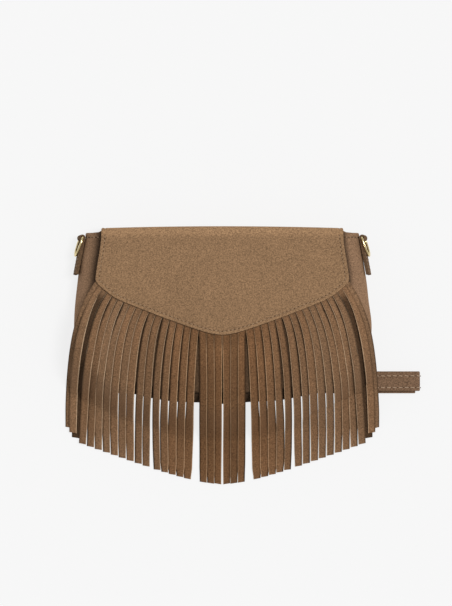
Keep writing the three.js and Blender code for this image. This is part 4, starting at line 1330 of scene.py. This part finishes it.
def fringe():
    source = random.Random(7)
    strips = 2 * STRIPS_EACH_SIDE
    pitch = EDGE_LENGTHS[-1] / strips
    count = len(STRIP_PROFILE)
    points = []
    faces = []
    slots = []
    tones = []
    for index in range(strips):
        sections, tints, left = strip_sections(index, source)
        base = len(points)
        points.extend(sections.reshape(-1, 3))
        tones.extend(tints.reshape(-1, 4))
        own_faces = tube_faces(STRIP_SECTIONS, count, base, flip=True)
        slots += [1 if j in STRIP_LIT_CUT_FACES else 0 for j in range(count)] * (STRIP_SECTIONS - 1)
        own_faces.append(tuple(base + j for j in range(count)))
        own_faces.append(tuple(base + (STRIP_SECTIONS - 1) * count + j for j in reversed(range(count))))
        slots += [0, 1]
        faces += own_faces if left else [face[::-1] for face in own_faces]
    header_points, header_faces = header_strip(pitch)
    base = len(points)
    points += header_points
    faces += [tuple(base + i for i in face) for face in header_faces]
    slots += [0] * len(header_faces)
    for spot in header_points:
        spread = float(smooth(abs(spot[0]) / TINT_REACH))
        tones.append([mix(a, b, spread) for a, b in zip(CENTRE_TINT, SIDE_TINT)] + [1])
    mesh = bpy.data.meshes.new("fringe_strips")
    mesh.from_pydata((np.asarray(points) * MM).tolist(), [], faces)
    mesh.materials.append(strip_suede)
    mesh.materials.append(lit_cut_edge)
    mesh.polygons.foreach_set("material_index", np.asarray(slots, np.int32))
    attribute = mesh.color_attributes.new("tone", "FLOAT_COLOR", "POINT")
    attribute.data.foreach_set("color", np.asarray(tones, np.float32).ravel())
    mesh.shade_smooth()
    mesh.set_sharp_from_angle(angle=math.radians(35))
    obj = bpy.data.objects.new("fringe_strips", mesh)
    bpy.context.collection.objects.link(obj)
    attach(obj, "flap")
    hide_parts("fringe")
    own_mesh(obj)


def header_strip(pitch):
    """The uncut band that the strips hang from, sewn under the flap's edge."""
    columns = 161
    top = []
    low = []
    for i in range(columns):
        distance = mix(pitch * 0.04, EDGE_LENGTHS[-1] - pitch * 0.04, i / (columns - 1))
        for inward in (HEADER_MARGIN + 1.2, HEADER_MARGIN + HEADER_DEPTH / 2, HEADER_MARGIN + HEADER_DEPTH):
            spot = edge_spot(distance, inward)
            z = float(filler_under(spot[0], spot[1]))
            top.append(np.array([spot[0], spot[1], z + FRINGE_SUEDE + 0.05]))
            low.append(np.array([spot[0], spot[1], z - 0.05]))
    points = top + low
    count = len(top)
    faces = grid_faces(columns, 3) + grid_faces(columns, 3, start=count, flip=True)
    for i in range(columns - 1):
        a, b = i * 3, (i + 1) * 3
        faces.append((b, a, a + count, b + count))
        faces.append((a + 2, b + 2, b + 2 + count, a + 2 + count))
    last = (columns - 1) * 3
    for k in range(2):
        faces.append((k, k + 1, k + 1 + count, k + count))
        faces.append((last + k + 1, last + k, last + k + count, last + k + 1 + count))
    return points, faces


# Side tabs and rings

TAB_STAND_OFF = 0.1
TAB_EDGE_BEVEL = 0.45
RING_SIDES = 14


def wall_spot(side, y, height):
    seam_x = side * panel_half_width(y, 1, 0)
    low = back_height(y, 2) + LAYER
    high = panel_top(seam_x, y) - LAYER
    x = side * panel_half_width(y, float(wall_share(np.float64(height))), 0)
    return Vector((float(x), float(y), float(mix(low, high, height))))


def tab_frame(side):
    y = TAB_TOP_Y - TAB_LENGTH / 2
    spot = wall_spot(side, y, TAB_SHARE)
    up = (wall_spot(side, y + 1, TAB_SHARE) - wall_spot(side, y - 1, TAB_SHARE)).normalized()
    deep = (wall_spot(side, y, TAB_SHARE + 0.05) - wall_spot(side, y, TAB_SHARE - 0.05)).normalized()
    out = up.cross(deep).normalized()
    if out.x * side < 0:
        out = -out
    across = out.cross(up).normalized()
    return spot + out * (GAP + TAB_STAND_OFF), out, up, across


def in_frame(place, out, up, across, local):
    return [place + out * p[0] + up * p[1] + across * p[2] for p in local]


def loop_spot(radius, turn):
    """A spot of the tab's profile, round the ring's bar."""
    return TAB_LOOP_RADIUS + radius * math.cos(turn), TAB_LOOP_Y + radius * math.sin(turn)


def tab_profile():
    """The tab runs up the wall, round the ring's bar and down again, and has a bore for the bar."""
    sheet = 2 * TAB_SUEDE
    foot = -TAB_LENGTH / 2
    join_turn = -math.acos((sheet - TAB_LOOP_RADIUS) / TAB_LOOP_RADIUS)
    outer = [(0.0, mix(foot, TAB_LOOP_Y, k / 16)) for k in range(17)]
    outer += [loop_spot(TAB_LOOP_RADIUS, mix(math.pi, join_turn, k / 24)) for k in range(1, 25)]
    outer += [(sheet, mix(outer[-1][1], foot, k / 14)) for k in range(1, 15)]
    bore = [loop_spot(TAB_BORE, 2 * math.pi * k / 28) for k in range(28)]
    return outer, bore


def tab_stitches(side, name):
    place, out, up, across = tab_frame(side)
    top = TAB_LOOP_Y - 5
    low = -TAB_LENGTH / 2 + TAB_STITCH_INSET
    edge = TAB_WIDTH / 2 - TAB_STITCH_INSET
    corners = ((top, -edge), (low, -edge), (low, edge), (top, edge), (top, -edge))
    dense = []
    for start, end in zip(corners[:-1], corners[1:]):
        for k in range(20):
            dense.append([2 * TAB_SUEDE + 0.02] + [mix(a, b, k / 20) for a, b in zip(start, end)])
    path = np.array([list(v) for v in in_frame(place, out, up, across, dense)])
    normals = np.tile(np.array(list(out)), (len(path), 1))
    row = stitch_row(f"{name}_tab_stitches", path, normals, body_thread, needle_hole_shade, 61,
                     pitch=TAB_STITCH_PITCH, length=TAB_STITCH_LENGTH, radius=TAB_STITCH_RADIUS)
    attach(row, "bag")


def tab(side, name):
    """Suede folded over the ring, closed by a row of stitches."""
    place, out, up, across = tab_frame(side)
    work = bmesh.new()
    rims = []
    for loop in tab_profile():
        rows = []
        for z in (-TAB_WIDTH / 2, TAB_WIDTH / 2):
            rows.append([work.verts.new(Vector((a, b, z))) for a, b in loop])
        for i in range(len(loop)):
            j = (i + 1) % len(loop)
            work.faces.new((rows[0][i], rows[0][j], rows[1][j], rows[1][i]))
        rims.append(rows)
    work.edges.ensure_lookup_table()
    for level in (0, 1):
        edges = []
        for rows in rims:
            ring = rows[level]
            for i in range(len(ring)):
                edges.append(work.edges.get((ring[i], ring[(i + 1) % len(ring)])))
        bmesh.ops.triangle_fill(work, use_beauty=True, use_dissolve=False, edges=edges)
    bmesh.ops.recalc_face_normals(work, faces=work.faces)
    mesh = bpy.data.meshes.new(f"{name}_tab_shaded_suede")
    work.to_mesh(mesh)
    work.free()
    for vertex in mesh.vertices:
        local = vertex.co
        vertex.co = (place + out * local.x + up * local.y + across * local.z) * MM
    mesh.materials.append(tab_shaded_suede)
    obj = bpy.data.objects.new(f"{name}_tab_shaded_suede", mesh)
    bpy.context.collection.objects.link(obj)
    bevel = obj.modifiers.new("soft_edges", "BEVEL")
    bevel.width = TAB_EDGE_BEVEL * MM
    bevel.segments = 3
    bevel.limit_method = "ANGLE"
    bevel.angle_limit = math.radians(60)
    mesh.shade_smooth()
    mesh.set_sharp_from_angle(angle=math.radians(45))
    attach(obj, "bag")
    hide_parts(f"{name}_tab")
    tab_stitches(side, name)


def centripetal_loop(points, samples):
    """Closed centripetal Catmull-Rom curve through the points."""
    points = np.asarray(points, float)
    count = len(points)
    result = []
    for i in range(count):
        p0, p1, p2, p3 = (points[(i + k - 1) % count] for k in range(4))
        knots = [0]
        for a, b in ((p0, p1), (p1, p2), (p2, p3)):
            knots.append(knots[-1] + math.sqrt(np.linalg.norm(b - a)))
        t0, t1, t2, t3 = knots
        for t in np.linspace(t1, t2, samples, endpoint=False):
            a1 = (t1 - t) / (t1 - t0) * p0 + (t - t0) / (t1 - t0) * p1
            a2 = (t2 - t) / (t2 - t1) * p1 + (t - t1) / (t2 - t1) * p2
            a3 = (t3 - t) / (t3 - t2) * p2 + (t - t2) / (t3 - t2) * p3
            b1 = (t2 - t) / (t2 - t0) * a1 + (t - t0) / (t2 - t0) * a2
            b2 = (t3 - t) / (t3 - t1) * a2 + (t - t1) / (t3 - t1) * a3
            result.append((t2 - t) / (t2 - t1) * b1 + (t - t1) / (t2 - t1) * b2)
    return np.array(result)


def ring(side, name):
    place, out, up, across = tab_frame(side)
    half = RING_HALF_WIDTH
    drop = RING_DROP
    bow = [
        (0, -half + 1.4), (0, -half / 3), (0, half / 3), (0, half - 1.4),
        (1.4, half), (drop * 0.4, half), (drop * 0.78, half * 0.72), (drop, 0),
        (drop * 0.78, -half * 0.72), (drop * 0.4, -half), (1.4, -half),
    ]
    loop = centripetal_loop([(0, -down, aside) for down, aside in bow], 9)
    lean = math.radians(RING_LEAN)
    turned = np.stack([
        loop[:, 0] * math.cos(lean) - loop[:, 1] * math.sin(lean),
        loop[:, 0] * math.sin(lean) + loop[:, 1] * math.cos(lean),
        loop[:, 2],
    ], axis=1)
    turned = turned + np.array([TAB_LOOP_RADIUS, TAB_LOOP_Y, 0])
    spots = np.array([list(v) for v in in_frame(place, out, up, across, turned)])
    along = unit(np.roll(spots, -1, axis=0) - np.roll(spots, 1, axis=0))
    plane = np.cross(along[0], along[len(along) // 4])
    plane /= np.linalg.norm(plane)
    sides = RING_SIDES
    points = []
    for spot, tangent in zip(spots, along):
        outward = np.cross(tangent, plane)
        for j in range(sides):
            angle = 2 * math.pi * j / sides
            points.append(spot + (outward * math.cos(angle) + plane * math.sin(angle)) * RING_WIRE_RADIUS)
    faces = tube_faces(len(spots), sides, closed=True)
    obj = make_object(f"{name}_ring_gold", points, faces, [pale_gold], sharp_angle=80)
    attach(obj, f"ring_{name}")
    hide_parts(f"{name}_ring")


# Strap

STRAP_LAYER_Z = [STRAP_SHEET / 2 + level * STRAP_PITCH for level in (3, 2, 1, 0)]


def strap_path():
    """The strap's middle line from its upper end through its folds to its lower end, as x and z."""
    spots = []
    fold_round = STRAP_PITCH / 2
    outer_round = fold_round + STRAP_SHEET / 2
    top, third, second, bottom = STRAP_LAYER_Z

    def run(start, end, z, step=4):
        count = max(2, int(abs(end - start) / step))
        spots.extend((mix(start, end, k / count), z) for k in range(count + 1))

    def fold(x, high, direction):
        for k in range(1, 14):
            turn = math.pi / 2 - math.pi * k / 14
            across = direction * fold_round * math.cos(turn)
            spots.append((x + across, high - fold_round + fold_round * math.sin(turn)))

    run(STRAP_END_X, STRAP_UPPER_FOLD_X - outer_round, top)
    fold(STRAP_UPPER_FOLD_X - outer_round, top, 1)
    run(STRAP_UPPER_FOLD_X - outer_round, STRAP_LEFT_FOLD_X, third)
    fold(STRAP_LEFT_FOLD_X, third, -1)
    run(STRAP_LEFT_FOLD_X, STRAP_LOWER_FOLD_X - outer_round, second)
    fold(STRAP_LOWER_FOLD_X - outer_round, second, 1)
    run(STRAP_LOWER_FOLD_X - outer_round, STRAP_LEFT_FOLD_X - outer_round - GAP, bottom)
    spots.append((STRAP_LEFT_FOLD_X - outer_round - 6, bottom + PRESS_CAP + GAP))
    run(STRAP_LEFT_FOLD_X - outer_round - 8, STRAP_END_X, bottom + PRESS_CAP + GAP)
    return np.array(spots)


def strap_middle_y(z):
    level = (STRAP_LAYER_Z[1] - z) / (STRAP_LAYER_Z[1] - STRAP_LAYER_Z[2])
    return STRAP_Y + STRAP_LOWER_SHIFT * smooth(level)


def strap():
    path = strap_path()
    along = unit(np.gradient(path, axis=0))
    normal = np.stack([-along[:, 1], along[:, 0]], axis=1)
    middle = strap_middle_y(path[:, 1])
    half = STRAP_WIDTH / 2
    groove = -half + STRAP_LOW_INSET
    profile = [
        (-half, -0.55), (-half, 0.0), (-half, 0.55), (-half + 0.35, 0.95), (-half + 0.9, 1.06),
        (groove - 0.4, 1.0), (groove, 0.88), (groove + 0.5, 1.0), (-half + 4, 1.1), (0, 1.1),
    ]
    shift = STRAP_HIGH_INSET - STRAP_LOW_INSET
    mirrored = [(-a - shift * float(smooth((a + half) / 1.2)), b) for a, b in profile[:-1]][::-1]
    upper = profile + mirrored
    lower = [(a, -b) for a, b in upper if abs(b) > 0.56][::-1]
    ring_profile = upper + lower
    count = len(ring_profile)
    edge_faces = {0, 1, len(upper) - 3, len(upper) - 2}
    points = []
    for i in range(len(path)):
        for across, rise in ring_profile:
            points.append((
                path[i, 0] + normal[i, 0] * rise,
                middle[i] + across,
                path[i, 1] + normal[i, 1] * rise,
            ))
    faces = tube_faces(len(path), count, flip=True)
    slots = [1 if j in edge_faces else 0 for j in range(count)] * (len(path) - 1)
    faces.append(tuple(range(count)))
    faces.append(tuple((len(path) - 1) * count + j for j in reversed(range(count))))
    slots += [1, 1]
    obj = make_object("strap_suede_band", points, faces, [strap_suede, strap_edge], slots)
    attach(obj, "bag")
    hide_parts("strap")
    top_count = int(np.argmax(path[:, 0])) + 1
    shown = path[:top_count, 0] > STRAP_STITCH_START_X
    line = path[:top_count][shown]
    way = normal[:top_count][shown]
    for sign, name, row_inset in (
        (-1, "strap_stitches_low", STRAP_LOW_INSET),
        (1, "strap_stitches_high", STRAP_HIGH_INSET),
    ):
        rows = np.stack([
            line[:, 0] + way[:, 0] * 0.98,
            strap_middle_y(line[:, 1]) + sign * (half - row_inset),
            line[:, 1] + way[:, 1] * 0.98,
        ], axis=1)
        normals = np.stack([way[:, 0], np.zeros(len(way)), way[:, 1]], axis=1)
        row = stitch_row(name, rows, normals, light_thread, needle_hole_shade, 71 + sign,
                         pitch=STRAP_STITCH_PITCH, length=STRAP_STITCH_LENGTH,
                         radius=STRAP_STITCH_RADIUS, slant=STRAP_STITCH_SLANT)
        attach(row, "bag")


# Everything together


def dress_nodes():
    """Finishes for the frame's own metal parts and the hidden board."""
    for name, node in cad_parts.items():
        finish = board if name == "flap_stiffener" else pale_gold
        if node.hide_render:
            continue
        node.data.materials.clear()
        node.data.materials.append(finish)


def build_bag():
    front_panel()
    back_panel()
    gusset()
    gusset_stitches()
    back_stitches()
    lining()
    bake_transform(flap_front())
    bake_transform(flap_back())
    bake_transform(flap_stitches())
    flap_edge_shadow_line()
    flap_lining()
    fringe()
    for side, name in ((-1, "left"), (1, "right")):
        tab(side, name)
        ring(side, name)
    strap()
    dress_nodes()


# Camera, floor and light

PICTURE_CENTRE = (2.9, 10.1)
PICTURE_HEIGHT = 472.7
CAMERA_HEIGHT = 1.5
FLOOR_GREY = (246, 246, 246)
FLOOR_GLOW = 0.88
FLOOR_HALF = 4
FLOOR_DROP = 0.3
WORLD_STRENGTH = 0.5
SUN_STRENGTH = 1.95
SUN_SPREAD = math.radians(18)
SUN_DIRECTION = (0.3, 0.12, 1)


def add_camera():
    data = bpy.data.cameras.new("photo_camera")
    data.type = "ORTHO"
    data.sensor_fit = "VERTICAL"
    data.ortho_scale = PICTURE_HEIGHT * MM
    data.clip_end = 20
    camera = bpy.data.objects.new("photo_camera", data)
    camera.location = (PICTURE_CENTRE[0] * MM, PICTURE_CENTRE[1] * MM, CAMERA_HEIGHT)
    bpy.context.collection.objects.link(camera)
    bpy.context.scene.camera = camera


def add_floor():
    mesh = bpy.data.meshes.new("floor")
    corners = [(a * FLOOR_HALF, b * FLOOR_HALF, 0) for a, b in ((-1, -1), (1, -1), (1, 1), (-1, 1))]
    mesh.from_pydata(corners, [], [(0, 1, 2, 3)])
    material = bpy.data.materials.new("pale_floor")
    material.use_nodes = True
    nodes = material.node_tree.nodes
    links = material.node_tree.links
    nodes.clear()
    tone = linear(FLOOR_GREY)
    diffuse = nodes.new("ShaderNodeBsdfDiffuse")
    diffuse.inputs["Color"].default_value = tone
    glow = nodes.new("ShaderNodeEmission")
    glow.inputs["Color"].default_value = tone
    glow.inputs["Strength"].default_value = 1.0
    rays = nodes.new("ShaderNodeLightPath")
    seen = nodes.new("ShaderNodeMath")
    seen.operation = "MAXIMUM"
    links.new(rays.outputs["Is Camera Ray"], seen.inputs[0])
    links.new(rays.outputs["Is Glossy Ray"], seen.inputs[1])
    share = nodes.new("ShaderNodeMath")
    share.operation = "MULTIPLY"
    share.inputs[1].default_value = FLOOR_GLOW
    links.new(seen.outputs[0], share.inputs[0])
    blend = nodes.new("ShaderNodeMixShader")
    links.new(share.outputs[0], blend.inputs["Fac"])
    links.new(diffuse.outputs[0], blend.inputs[1])
    links.new(glow.outputs[0], blend.inputs[2])
    output = nodes.new("ShaderNodeOutputMaterial")
    links.new(blend.outputs[0], output.inputs["Surface"])
    mesh.materials.append(material)
    floor = bpy.data.objects.new("floor", mesh)
    floor.location = (0, 0, -FLOOR_DROP * MM)
    bpy.context.collection.objects.link(floor)


def add_light():
    world = bpy.data.worlds.new("studio")
    world.use_nodes = True
    background = world.node_tree.nodes["Background"]
    background.inputs["Color"].default_value = (1, 1, 1, 1)
    background.inputs["Strength"].default_value = WORLD_STRENGTH
    bpy.context.scene.world = world
    sun = bpy.data.lights.new("key", "SUN")
    sun.energy = SUN_STRENGTH
    sun.angle = SUN_SPREAD
    key = bpy.data.objects.new("key", sun)
    key.rotation_euler = Vector(SUN_DIRECTION).to_track_quat("Z", "Y").to_euler()
    bpy.context.collection.objects.link(key)


add_camera()
build_bag()
add_floor()
add_light()
bpy.context.scene.view_settings.view_transform = "Standard"
